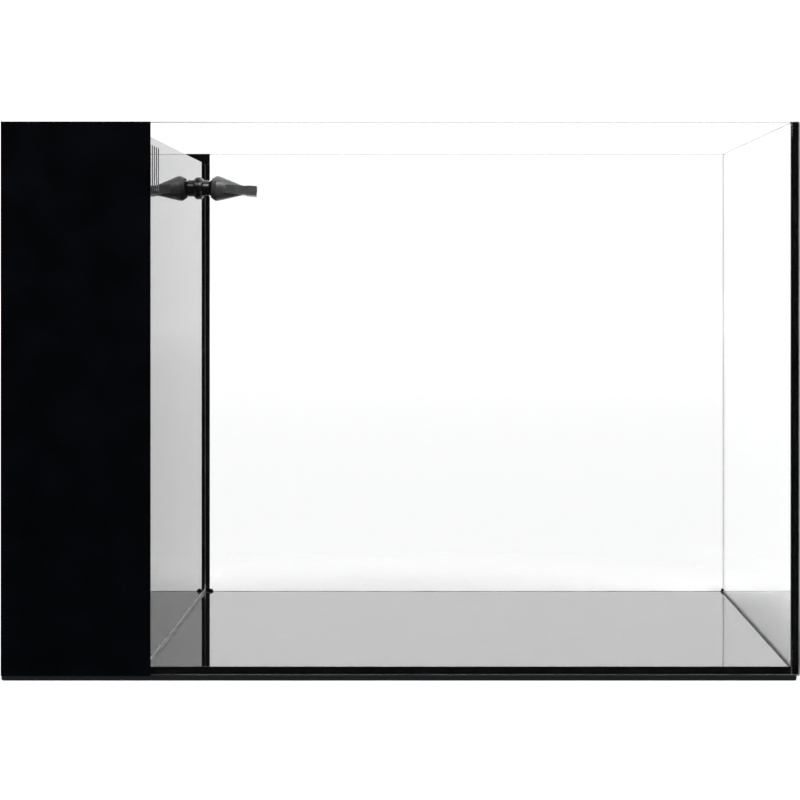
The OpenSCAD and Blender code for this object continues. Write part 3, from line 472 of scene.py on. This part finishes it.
# floor seam: its section, set in from the panes by u at height z, is carried round the rectangle of the
# floor; each side runs from corner to corner of the rectangle that is u smaller all round, and the leg
# that shows above the floor wavers along the run
def floorSeam(size):
    count = size["sideSteps"]
    turn = np.linspace(0, np.pi / 2, size["arcSteps"])[None, :]
    share = np.tile(np.linspace(0, 1, count, endpoint=False), 4)[:, None]
    side = np.repeat(np.arange(4), count)
    run = size["legRun"] * np.linspace(0, 1, 4 * count)
    leg = size["leg"] * waver(run, size["legWaver"], 0.6)[:, None]
    one = np.ones_like(leg)
    bond, under = bondThick + sink, tank["under"] - tank["floor"]
    toe = (bondThick + leg) * (1 - np.sin(turn))
    lift = leg * (1 - np.cos(turn))
    back = -sink * one
    inset = np.concatenate([toe, back, back, bond * one, bond * one, bondThick + leg], axis=1)
    rise = np.concatenate([lift, leg, under * one, under * one, back, back], axis=1)
    lowX, highX = tank["left"] + inset, tank["right"] - inset
    lowY, highY = tank["front"] + inset, tank["back"] - inset
    ringX = np.stack([lowX, highX, highX, lowX, lowX])
    ringY = np.stack([lowY, lowY, highY, highY, lowY])
    row = np.arange(4 * count)
    x = ringX[side, row] + share * (ringX[side + 1, row] - ringX[side, row])
    y = ringY[side, row] + share * (ringY[side + 1, row] - ringY[side, row])
    return grid(np.stack([x, y, tank["floor"] + rise], axis=-1), True, True)


floorSeamPiece = gridPiece("seam_bottom.bead", [floorSeam(seam)], blackSealant, 50)
seatPiece(floorSeamPiece, "tank", "black_silicone", "seam_bottom")
lump = {
    "wallFoot": (1.9 * mm, 1.5 * mm, 2.1 * mm),
    "wallFootOff": 1.2 * mm,  # its middle, from the film's edge
    "backCorner": (1.0 * mm, 0.8 * mm, 2.3 * mm),
    "backCornerOff": 0.4 * mm,  # its middle, from the right pane
    "uneven": 0.12,
    "steps": (14, 20),
}


# lump of silicone left on the back seam: an ellipsoid pressed flat against the floor and the panes
def cornerLump(size, reach, middleX, limit):
    rows, columns = size["steps"]
    down = np.linspace(0.05, np.pi - 0.05, rows)
    polar, turn = np.meshgrid(down, np.linspace(0, 2 * np.pi, columns, endpoint=False), indexing="ij")
    reachX, reachY, reachZ = reach
    uneven = 1 + size["uneven"] * np.sin(3 * turn + 2 * polar)
    x = np.minimum(reachX * np.sin(polar) * np.cos(turn) * uneven, limit)
    y = np.minimum(reachY * np.sin(polar) * np.sin(turn) * uneven, sink)
    z = np.maximum(reachZ * np.cos(polar), -sink)
    return grid(np.stack([middleX + x, tank["back"] + y, tank["floor"] + z], axis=-1), False, True, True)


filmEdge = boxOf("front_film")[1][0]
fromPane = lump["backCornerOff"]
lumpGrids = [
    cornerLump(lump, lump["backCorner"], tank["right"] - fromPane, fromPane + sink),
    cornerLump(lump, lump["wallFoot"], filmEdge + lump["wallFootOff"], np.inf),
]
lumps = gridPiece("cornerLumps", lumpGrids, blackSealant, 60)
seatPiece(lumps, "tank", "black_silicone")
print("seams laid")

# clear silicone along the overflow wall, pale where its edge thins out
wallBead = {
    "wallLeg": 2.6 * mm,
    "floorLeg": 1.1 * mm,
    "uprightLeg": 0.35 * mm,
    "waver": 0.2,
    "arcSteps": 8,
    "step": 3 * mm,
    "paleBegins": (0.9 * mm, 1.6 * mm),  # heights above the floor
    "paleEnds": (5 * mm, 6 * mm),
    "patchy": (0.45, 1.0),
    "dark": (0.05, 0.052, 0.052),
    "light": (0.7, 0.71, 0.69),
    "gloss": (0.3, 0.5),
}


def clearSiliconeFinish(look, marks):
    material, tree, shader = newFinish("clearSilicone", {"IOR": 1.41, "Transmission Weight": 0.35})
    place = addNode(tree, "TexCoord").outputs["Object"]
    height = wire(tree, addNode(tree, "SeparateXYZ"), {0: place}).outputs["Z"]
    patches = noise(tree, marks["patch"], 4.0)
    pale = product(
        tree,
        ramp(tree, height, *np.add(tank["floor"], look["paleBegins"]), 0.0, 1.0),
        ramp(tree, height, *np.add(tank["floor"], look["paleEnds"]), 1.0, 0.0),
        ramp(tree, patches, 0.3, 0.6, *look["patchy"]),
    )
    wire(tree, shader, {
        "Base Color": tones(tree, pale, 0.0, 1.0, look["dark"], look["light"]),
        "Roughness": ramp(tree, patches, 0.3, 0.7, *look["gloss"]),
        "Normal": rippled(tree, marks),
    })
    return material


# fillet in the corner of two faces: a hollow quarter arc from one leg to the other, closed behind them
def beadSection(size, legs, along, seed):
    wide = legs[0] * waver(along, size["waver"], seed)[:, None]
    tall = legs[1] * waver(along, size["waver"], seed + 0.8)[:, None]
    turn = np.linspace(0, np.pi / 2, size["arcSteps"])[None, :]
    back = -sink * np.ones_like(wide)
    first = np.concatenate([wide * (1 - np.cos(turn)), wide, back, back], axis=1)
    second = np.concatenate([tall * (1 - np.sin(turn)), back, back, tall], axis=1)
    return first, second


# beads of the wall: the fillet is carried along Y where the wall meets the floor, and up Z where it meets
# the front and the back pane
def wallBeadGrids(size):
    face, top = wallBox[1][0], wallBox[1][2]
    y = np.linspace(tank["front"], tank["back"], int((tank["back"] - tank["front"]) / size["step"]))
    z = np.linspace(tank["floor"], top, int((top - tank["floor"]) / size["step"]))
    out, up = beadSection(size, (size["floorLeg"], size["wallLeg"]), y, 1.7)
    run = np.repeat(y[:, None], out.shape[1], axis=1)
    grids = [grid(np.stack([face + out, run, tank["floor"] + up], axis=-1), False, True, True)]
    for side, (paneY, inward) in enumerate([(tank["front"], 1), (tank["back"], -1)]):
        out, deep = beadSection(size, (size["uprightLeg"], size["uprightLeg"]), z, 2.9 + side)
        run = np.repeat(z[:, None], out.shape[1], axis=1)
        grids.append(grid(np.stack([face + out, paneY + inward * deep, run], axis=-1), False, True, True))
    return grids


clearSealant = clearSiliconeFinish(wallBead, toolMarks)
wallBeads = gridPiece("wall_beads.bead", wallBeadGrids(wallBead), clearSealant, 50)
seatPiece(wallBeads, "tank", "clear_silicone", "wall_beads")

# blackout film: one sheet wrapped round the filter end
film = {
    "thick": 0.25 * mm,
    "edgeSoft": 0.3,  # share of the thickness that is rounded at its edges
    "cornerRound": 0.5 * mm,
    "cornerSteps": 7,
    "runSteps": 12,
    "dark": (0.0004, 0.0006, 0.001),
    "light": (0.0008, 0.001, 0.0017),
    "gloss": (0.34, 0.4),
    "patch": 30 * mm,
    "peel": 1.6 * mm,
    "peelDeep": 0.02 * mm,
}


def filmFinish(look):
    material, tree, shader = newFinish("blackFilm", {"Specular IOR Level": 0.03})
    patches = noise(tree, look["patch"], 5.0)
    peel = noise(tree, look["peel"], 2.0)
    wire(tree, shader, {
        "Base Color": tones(tree, patches, 0.35, 0.65, look["dark"], look["light"]),
        "Roughness": ramp(tree, patches, 0.35, 0.65, *look["gloss"]),
        "Normal": bump(tree, peel, look["peelDeep"], 0.4),
    })
    return material


# film: a thin tall section, rounded at its edges, carried along the front, round the left side and along
# the back; round a corner the path is an arc about the pane's rounded edge
def filmWrap(look):
    radius, count = look["cornerRound"], look["runSteps"]
    leftX, frontY, backY = tank["outLeft"], tank["outFront"], tank["outBack"]
    bend = np.linspace(0, np.pi / 2, look["cornerSteps"])[1:-1]
    run = np.linspace(0, 1, count)
    none, one = np.zeros(count), np.ones(count)
    frontX = filmEdge + run * (leftX + radius - filmEdge)
    sideY = frontY + radius + run * (backY - frontY - 2 * radius)
    intoX, outOfX = radius * (1 - np.sin(bend)), radius * (1 - np.cos(bend))
    pathX = np.concatenate([frontX, leftX + intoX, leftX * one, leftX + outOfX, frontX[::-1]])
    pathY = np.concatenate([frontY * one, frontY + outOfX, sideY, backY - intoX, backY * one])
    normalX = np.concatenate([none, -np.sin(bend), -one, -np.cos(bend), none])
    normalY = np.concatenate([-one, -np.cos(bend), none, np.sin(bend), one])
    thick = look["thick"]
    soft = look["edgeSoft"] * thick
    low, high = tank["under"], tank["rim"]
    out = np.array([-sink, thick - soft, thick, thick, thick - soft, -sink])
    up = np.array([low, low, low + soft, high - soft, high, high])
    x = pathX[:, None] + normalX[:, None] * out
    y = pathY[:, None] + normalY[:, None] * out
    z = np.broadcast_to(up, x.shape)
    return grid(np.stack([x, y, z], axis=-1), False, True, True)


filmPiece = gridPiece("blackoutFilm", [filmWrap(film)], filmFinish(film), 30)
seatPiece(filmPiece, "tank", "black_film", "front_film", "left_film", "back_film")
print("film wrapped")

# foam mat under the glass: closed cells, clipped corners, cut a little short, an edge that bulges
mat = {
    "cut": 1.2 * mm,  # clipped off each corner
    "short": 1.8 * mm,  # cut off the right end
    "bulge": 0.35 * mm,
    "creep": 0.4 * mm,  # how far its rim rises into the arris of the panes
    "creepIn": (0.04 * mm, 0.5 * mm),  # how far in the rim's crest and its inner foot are
    "edgeSteps": 9,
    "sideSteps": 40,
    "dark": (0.0012, 0.0022, 0.0022),
    "light": (0.0032, 0.0054, 0.0056),
    "gloss": (0.75, 0.95),
    "cell": 0.5 * mm,
    "cellDeep": 0.15 * mm,
    "patch": 3 * mm,
}


def foamFinish(look):
    material, tree, shader = newFinish("foamMat", {"Specular IOR Level": 0.12})
    cells = cellPattern(tree, look["cell"])
    patches = noise(tree, look["patch"], 4.0)
    mixed = calc(tree, "ADD", product(tree, cells, 0.6), product(tree, patches, 0.5))
    wire(tree, shader, {
        "Base Color": tones(tree, mixed, 0.25, 0.8, look["dark"], look["light"]),
        "Roughness": ramp(tree, patches, 0.3, 0.7, *look["gloss"]),
        "Normal": bump(tree, cells, look["cellDeep"], 0.6),
    })
    return material


# mat: the outline of a rectangle with cut corners, carried up an edge whose lower half swells by a sine;
# under the load its rim creeps up into the arris of the panes, and falls back to the top further in
def matGrid(look):
    low, high = boxOf("levelling_mat")
    high[0] -= look["short"]
    top = high[2] + sink
    cut = look["cut"]
    left, front, _ = low
    right, back, _ = high
    cornerX = [left + cut, right - cut, right, right, right - cut, left + cut, left, left]
    cornerY = [front, front, front + cut, back - cut, back, back, back - cut, front + cut]
    share = np.linspace(0, 1, look["sideSteps"], endpoint=False)[:, None]
    nextX, nextY = np.roll(cornerX, -1), np.roll(cornerY, -1)
    outlineX = (np.array(cornerX) + share * (nextX - cornerX)).T.reshape(-1)
    outlineY = (np.array(cornerY) + share * (nextY - cornerY)).T.reshape(-1)
    middle = (low + high) / 2
    step = np.linspace(0, 1, look["edgeSteps"])
    swell = np.where(step < 0.5, look["bulge"] * (1 - np.sin(np.pi * step)), 0)
    shrink = np.append(swell, look["creepIn"])[:, None]
    rise = np.append(step * top, [top + look["creep"], top])[:, None]
    x = outlineX - shrink * np.sign(outlineX - middle[0])
    y = outlineY - shrink * np.sign(outlineY - middle[1])
    z = np.broadcast_to(rise, x.shape)
    return grid(np.stack([x, y, z], axis=-1), False, True, True)


matPiece = gridPiece("levelling_mat.foam", [matGrid(mat)], foamFinish(mat), 60)
seatPiece(matPiece, "tank", "foam_mat", "levelling_mat")
print("mat laid")

# gloss black acrylic: a polished coat, faint wiping marks
acrylic = {
    "dark": (0.001, 0.001, 0.0013),
    "light": (0.003, 0.003, 0.0035),
    "gloss": (0.004, 0.014),
    "patch": 60 * mm,
    "wipe": 2 * mm,
    "wipeStretch": (1, 0.08, 1),
    "sawnRough": 0.45,
    "sawnWall": (0.1, 0.1, 0.103),
    "sawnSheet": (0.06, 0.06, 0.062),
    "constants": {"IOR": 1.49, "Coat Weight": 0.42, "Coat Roughness": 0.005, "Coat IOR": 1.5},
}


# acrylic sheet whose polished faces look along the given axis; its sawn edges look along the others
def acrylicFinish(name, look, axis, sawnTone):
    material, tree, shader = newFinish(name, look["constants"])
    patches = noise(tree, look["patch"], 5.0)
    wipes = noise(tree, look["wipe"], 4.0, look["wipeStretch"])
    polished = tones(tree, patches, 0.35, 0.65, look["dark"], look["light"])
    smooth = ramp(tree, wipes, 0.35, 0.7, *look["gloss"])
    normal = addNode(tree, "NewGeometry").outputs["True Normal"]
    across = wire(tree, addNode(tree, "SeparateXYZ"), {0: normal}).outputs[axis]
    sawn = calc(tree, "LESS_THAN", calc(tree, "ABSOLUTE", across), 0.5)
    colour = wire(tree, addNode(tree, "Mix", data_type="RGBA"), {"Factor": sawn})
    wire(tree, colour, {6: polished, 7: (*sawnTone, 1)})
    wire(tree, shader, {
        "Base Color": colour.outputs[2],
        "Roughness": calc(tree, "MAXIMUM", smooth, product(tree, sawn, look["sawnRough"])),
    })
    return material


wallSheet = acrylicFinish("acrylicWall", acrylic, "X", acrylic["sawnWall"])
dividerSheet = acrylicFinish("acrylicDivider", acrylic, "Y", acrylic["sawnSheet"])
plateSheet = acrylicFinish("acrylicPlate", acrylic, "Z", acrylic["sawnSheet"])
dressNodes(wallSheet, "overflow_wall")
dressNodes(dividerSheet, "sock_divider", "pump_divider")
dressNodes(plateSheet, "sock_plate", "sock_ledges")
dressNodes(blackSealant, "divider_beads")

# moulded plastics and the like: two tones, a fine grain and patches of gloss
mouldings = {
    "blackPlastic": {"dark": (0.002, 0.002, 0.0025), "light": (0.005, 0.005, 0.006), "gloss": (0.12, 0.22),
                     "patch": 9 * mm, "grain": 0.45 * mm, "depth": 0.03 * mm, "shine": 0.5},
    "greyPlastic": {"dark": (0.036, 0.037, 0.038), "light": (0.054, 0.055, 0.057), "gloss": (0.32, 0.4),
                    "patch": 7 * mm, "grain": 0.4 * mm, "depth": 0.03 * mm, "shine": 0.5},
    "rubber": {"dark": (0.008, 0.008, 0.008), "light": (0.02, 0.02, 0.02), "gloss": (0.6, 0.8),
               "patch": 5 * mm, "grain": 0.5 * mm, "depth": 0.05 * mm, "shine": 0.3},
    "bioCeramic": {"dark": (0.42, 0.36, 0.29), "light": (0.72, 0.66, 0.57), "gloss": (0.8, 0.95),
                   "patch": 3 * mm, "grain": 0.7 * mm, "depth": 0.3 * mm, "shine": 0.3},
    "impellerPlastic": {"dark": (0.5, 0.51, 0.53), "light": (0.62, 0.63, 0.65), "gloss": (0.3, 0.45),
                        "patch": 6 * mm, "grain": 0.4 * mm, "depth": 0.03 * mm, "shine": 0.5},
    "magnet": {"dark": (0.03, 0.03, 0.034), "light": (0.06, 0.06, 0.066), "gloss": (0.35, 0.5),
               "patch": 6 * mm, "grain": 0.3 * mm, "depth": 0.03 * mm, "shine": 0.5},
    "shaftCeramic": {"dark": (0.8, 0.8, 0.78), "light": (0.88, 0.88, 0.86), "gloss": (0.15, 0.25),
                     "patch": 6 * mm, "grain": 0.3 * mm, "depth": 0.01 * mm, "shine": 0.5},
}


def mouldedFinish(name, look):
    material, tree, shader = newFinish(name, {"IOR": 1.5, "Specular IOR Level": look["shine"]})
    patches = noise(tree, look["patch"], 5.0)
    grain = noise(tree, look["grain"], 2.0)
    wire(tree, shader, {
        "Base Color": tones(tree, patches, 0.3, 0.7, look["dark"], look["light"]),
        "Roughness": ramp(tree, patches, 0.3, 0.7, *look["gloss"]),
        "Normal": bump(tree, grain, look["depth"], 0.6),
    })
    return material


moulded = {name: mouldedFinish(name, look) for name, look in mouldings.items()}
dressNodes(moulded["blackPlastic"], "sock_ring", "media_basket", "basket_trays", "hose_clamps")
dressNodes(moulded["blackPlastic"], "pump_motor", "pump_volute", "intake_grille", "pump_barb")
dressNodes(moulded["blackPlastic"], "elbow_barb", "bulkhead_nut", "bulkhead_body", "swivel_neck")
dressNodes(moulded["greyPlastic"], "flare_nozzle", "flow_dial")
dressNodes(moulded["rubber"], "shaft_bushes", "pump_oring", "suction_cups", "cable_gland")
dressNodes(moulded["rubber"], "bulkhead_gasket", "neck_oring")
dressNodes(moulded["bioCeramic"], "bio_block")
dressNodes(moulded["impellerPlastic"], "impeller")
dressNodes(moulded["magnet"], "rotor_magnet")
dressNodes(moulded["shaftCeramic"], "rotor_shaft")
print("mouldings finished")

# clear vinyl of the return hose, a little cloudy
hose = {
    "dark": (0.62, 0.66, 0.65),
    "light": (0.8, 0.83, 0.82),
    "gloss": (0.15, 0.35),
    "constants": {"IOR": 1.5, "Transmission Weight": 0.75},
}
dressNodes(siliconeFinish("clearVinyl", hose, toolMarks), "return_hose")
print("hose dressed")


# even random number from 0 to 1 for each whole-number place: the fraction of a large sine
def scatter(place, seed):
    wave = np.sin(place @ np.array([127.1, 311.7, 74.7]) + 17.3 * seed) * 43758.5453
    return wave - np.floor(wave)


# smooth noise from 0 to 1: random values on a lattice of the given size, blended between eight corners
def cloudNoise(points, size, seed):
    spot = points / size
    cell = np.floor(spot)
    inside = spot - cell
    blend = inside * inside * (3 - 2 * inside)
    total = 0
    for corner in np.ndindex(2, 2, 2):
        weight = np.prod(np.where(corner, blend, 1 - blend), axis=-1)
        total = total + weight * scatter(cell + corner, seed)
    return total


# distance to the nearest of points that are scattered one to a cell, in cells
def poreNoise(points, size, seed):
    spot = points / size
    cell = np.floor(spot)
    nearest = np.full(points.shape[:-1], 9.0)
    for step in np.ndindex(3, 3, 3):
        near = cell + np.array(step) - 1
        centre = near + np.stack([scatter(near, seed + k) for k in range(3)], axis=-1)
        nearest = np.minimum(nearest, np.linalg.norm(spot - centre, axis=-1))
    return nearest


# pad with round corners: its outline is carried from the middle of the underside out to the edge, up the
# side and in again over the top; gives the points and the way out of the surface at each
def padSurface(low, high, size):
    middle, half = (low + high) / 2, (high - low) / 2
    corner, edge, step = size["corner"], size["edge"], size["step"]
    straight = 2 * (half[:2] - corner)
    quarter = np.pi / 2 * corner
    lengths = np.array([straight[1], quarter, straight[0], quarter] * 2)
    starts = np.concatenate([[0], np.cumsum(lengths)])
    run = np.linspace(0, starts[-1], int(starts[-1] / step), endpoint=False)
    side = np.searchsorted(starts, run, side="right") - 1
    share = (run - starts[side]) / lengths[side]
    turn = (side // 2 + np.where(side % 2 == 1, share, 0)) * np.pi / 2
    outward = np.stack([np.cos(turn), np.sin(turn)], axis=-1)
    alongside = np.stack([-np.sin(turn), np.cos(turn)], axis=-1)
    signs = np.array([[1, -1], [1, 1], [1, 1], [-1, 1], [-1, 1], [-1, -1], [-1, -1], [1, -1]])
    centre = signs[side] * (half[:2] - corner)
    slide = np.where(side % 2 == 0, share * lengths[side], 0)
    outline = centre + corner * outward + alongside * slide[:, None]
    flat = np.linspace(0.02, 1, int(half[0] / step))  # a small lid closes the middle
    bend = np.linspace(-np.pi / 2, 0, 6)[1:-1]
    rise = np.linspace(-1, 1, int(2 * half[2] / step))
    level = np.full(len(flat), np.pi / 2)
    tilt = np.concatenate([-level, bend, np.zeros(len(rise)), -bend[::-1], level])
    scale = np.concatenate([flat, np.ones(2 * len(bend) + len(rise)), flat[::-1]])
    inset = edge * (1 - np.cos(tilt))
    ends = np.ones(len(flat) + len(bend))
    height = np.concatenate([-ends, rise, ends]) * (half[2] - edge) + edge * np.sin(tilt)
    ring = (outline[None] - outward[None] * inset[:, None, None]) * scale[:, None, None]
    lift = np.broadcast_to(height[:, None, None], ring.shape[:2] + (1,))
    points = np.concatenate([ring, lift], axis=-1) + middle
    flatOut = outward[None] * np.cos(tilt)[:, None, None]
    upOut = np.broadcast_to(np.sin(tilt)[:, None, None], lift.shape)
    return points, np.concatenate([flatOut, upOut], axis=-1)


# coarse filter sponge: open pores pressed into a foam block
sponge = {
    "corner": 2.5 * mm,
    "edge": 1.2 * mm,
    "step": 1.0 * mm,
    "pore": 3.4 * mm,
    "poreWide": 0.55,  # radius of a pore, as a share of that
    "poreDeep": 1.5 * mm,
    "dark": (0.004, 0.004, 0.005),
    "light": (0.035, 0.035, 0.04),
    "gloss": (0.7, 0.9),
    "cell": 1.1 * mm,
}
fibre = {"size": 0.35 * mm, "stretch": (1, 1, 0.25), "deep": 0.3 * mm}


def fibreFinish(name, look, sheen):
    material, tree, shader = newFinish(name, {"Specular IOR Level": 0.25, "Sheen Weight": sheen})
    cells = cellPattern(tree, look["cell"])
    fibres = noise(tree, fibre["size"], 3.0, fibre["stretch"])
    tangle = calc(tree, "ADD", product(tree, cells, 0.5), product(tree, fibres, 0.6))
    wire(tree, shader, {
        "Base Color": tones(tree, tangle, 0.25, 0.75, look["dark"], look["light"]),
        "Roughness": ramp(tree, fibres, 0.3, 0.7, *look["gloss"]),
        "Normal": bump(tree, tangle, fibre["deep"], 0.7),
    })
    return material


# sponge: the pad's surface, pressed in near the middle of each pore by a power of how near it is
def spongeGrid(size):
    points, out = padSurface(*boxOf("coarse_sponge"), size)
    pit = np.clip(1 - poreNoise(points, size["pore"], 3.0) / size["poreWide"], 0, 1)
    return grid(points - out * (size["poreDeep"] * pit**0.7)[..., None], False, True, True)


openFoam = fibreFinish("openFoam", sponge, 0.0)
spongePiece = gridPiece("coarse_sponge.foam", [spongeGrid(sponge)], openFoam, 70)
seatPiece(spongePiece, "basket", "sponge", "coarse_sponge")

# floss pad: loose batting with a crowned, lumpy top and drawn-in sides
floss = {
    "corner": 6 * mm,
    "edge": 5 * mm,
    "step": 1.1 * mm,
    "sag": 2.2 * mm,  # how much lower the top is at its corners
    "lump": 9 * mm,
    "lumpDeep": 1.8 * mm,
    "tuft": 2.2 * mm,
    "tuftDeep": 0.9 * mm,
    "dark": (0.46, 0.46, 0.435),
    "light": (0.7, 0.7, 0.68),
    "gloss": (0.85, 1.0),
    "cell": 1.6 * mm,
}


# floss: the pad's surface, pressed in by clouds of two sizes; its top falls off from the middle with the
# mean of the squares of x and y
def flossGrid(size):
    low, high = boxOf("floss_pad")
    points, out = padSurface(low, high, size)
    lumps = size["lumpDeep"] * cloudNoise(points, size["lump"], 1.0)
    tufts = size["tuftDeep"] * cloudNoise(points, size["tuft"], 2.0)
    deep = lumps + tufts
    share = (points - (low + high) / 2) / ((high - low) / 2)
    crown = size["sag"] * (share[..., 0] ** 2 + share[..., 1] ** 2) / 2
    points = points - out * deep[..., None]
    points[..., 2] -= np.where(out[..., 2] > 0.3, crown, 0)
    return grid(points, False, True, True)


flossPiece = gridPiece("floss_pad.batting", [flossGrid(floss)], fibreFinish("batting", floss, 0.3), 80)
seatPiece(flossPiece, "basket", "floss", "floss_pad")
print("filter pads made")

# felt sock: a sewn bag with soft folds, a welt down its side and a round foot
sock = {
    "thick": 2.5 * mm,
    "taper": 3.0 * mm,
    "foldDeep": 1.3 * mm,
    "throat": 24 * mm,  # how far down the ring keeps it round
    "weltHigh": 0.9 * mm,
    "weltWide": 2.2 * mm,
    "weltTurn": -1.2,  # where the welt runs, in radians round the bag
    "hemHigh": 0.5 * mm,  # seam between side and foot
    "hemWide": 1.5 * mm,
    "wallRun": 170 * mm,  # length of the wall from rim to foot, for the hem
    "rimDrop": 0.3 * mm,
    "rows": 90,
    "columns": 160,
    "dark": (0.34, 0.335, 0.31),
    "light": (0.56, 0.555, 0.52),
    "gloss": (0.85, 1.0),
    "cell": 0.9 * mm,
}


# bag: a side that narrows to its foot and a half ball below, as a radius and height along the wall; folds
# draw the wall in by two sines of the turn, the welt is a ridge down one side, and the wall is doubled
def sockGrid(size):
    low, high = boxOf("sock_bag")
    middle = (low + high) / 2
    topR = (high[0] - low[0]) / 2
    footR = topR - size["taper"]
    footZ = low[2] + footR
    down = np.linspace(0, 1, size["rows"])[:, None]
    turn = np.linspace(0, 2 * np.pi, size["columns"], endpoint=False)[None]
    sideShare = (high[2] - footZ) / (high[2] - footZ + footR * np.pi / 2)
    along = np.clip(down / sideShare, 0, 1)
    curl = np.clip((down - sideShare) / (1 - sideShare), 0, 0.985) * np.pi / 2  # a lid closes the tip
    freeWall = np.clip((high[2] - footZ) * along / size["throat"] - 1, 0, 1) * np.cos(curl)
    folds = 0.6 * np.sin(5 * turn + 2.5 * along) + 0.4 * np.sin(8 * turn - 4 * along + 1.0)
    drawn = size["foldDeep"] * freeWall * (0.5 + 0.5 * folds)
    off = (turn - size["weltTurn"] + np.pi) % (2 * np.pi) - np.pi
    welt = size["weltHigh"] * np.exp(-((off * topR / size["weltWide"]) ** 2)) * np.cos(curl)
    hem = size["hemHigh"] * np.exp(-(((down - sideShare) * size["wallRun"] / size["hemWide"]) ** 2))

    def wall(inset):
        radius = (topR - size["taper"] * along - inset) * np.cos(curl) - drawn
        height = high[2] - (high[2] - footZ) * along - (footR - inset) * np.sin(curl)
        return radius, height + 0 * turn

    outR, outZ = wall(0)
    inR, inZ = wall(size["thick"])
    radius = np.concatenate([(outR + welt + hem)[::-1], inR])
    height = np.concatenate([outZ[::-1], inZ])
    height[size["rows"] - 1] -= size["rimDrop"]
    x = middle[0] + radius * np.cos(turn)
    y = middle[1] + radius * np.sin(turn)
    return grid(np.stack([x, y, height], axis=-1), False, True, True)


needledFelt = fibreFinish("needledFelt", sock, 0.3)
sockPiece = gridPiece("sock_bag.felt", [sockGrid(sock)], needledFelt, 80)
seatPiece(sockPiece, "sock", "felt", "sock_bag")
print("sock sewn")
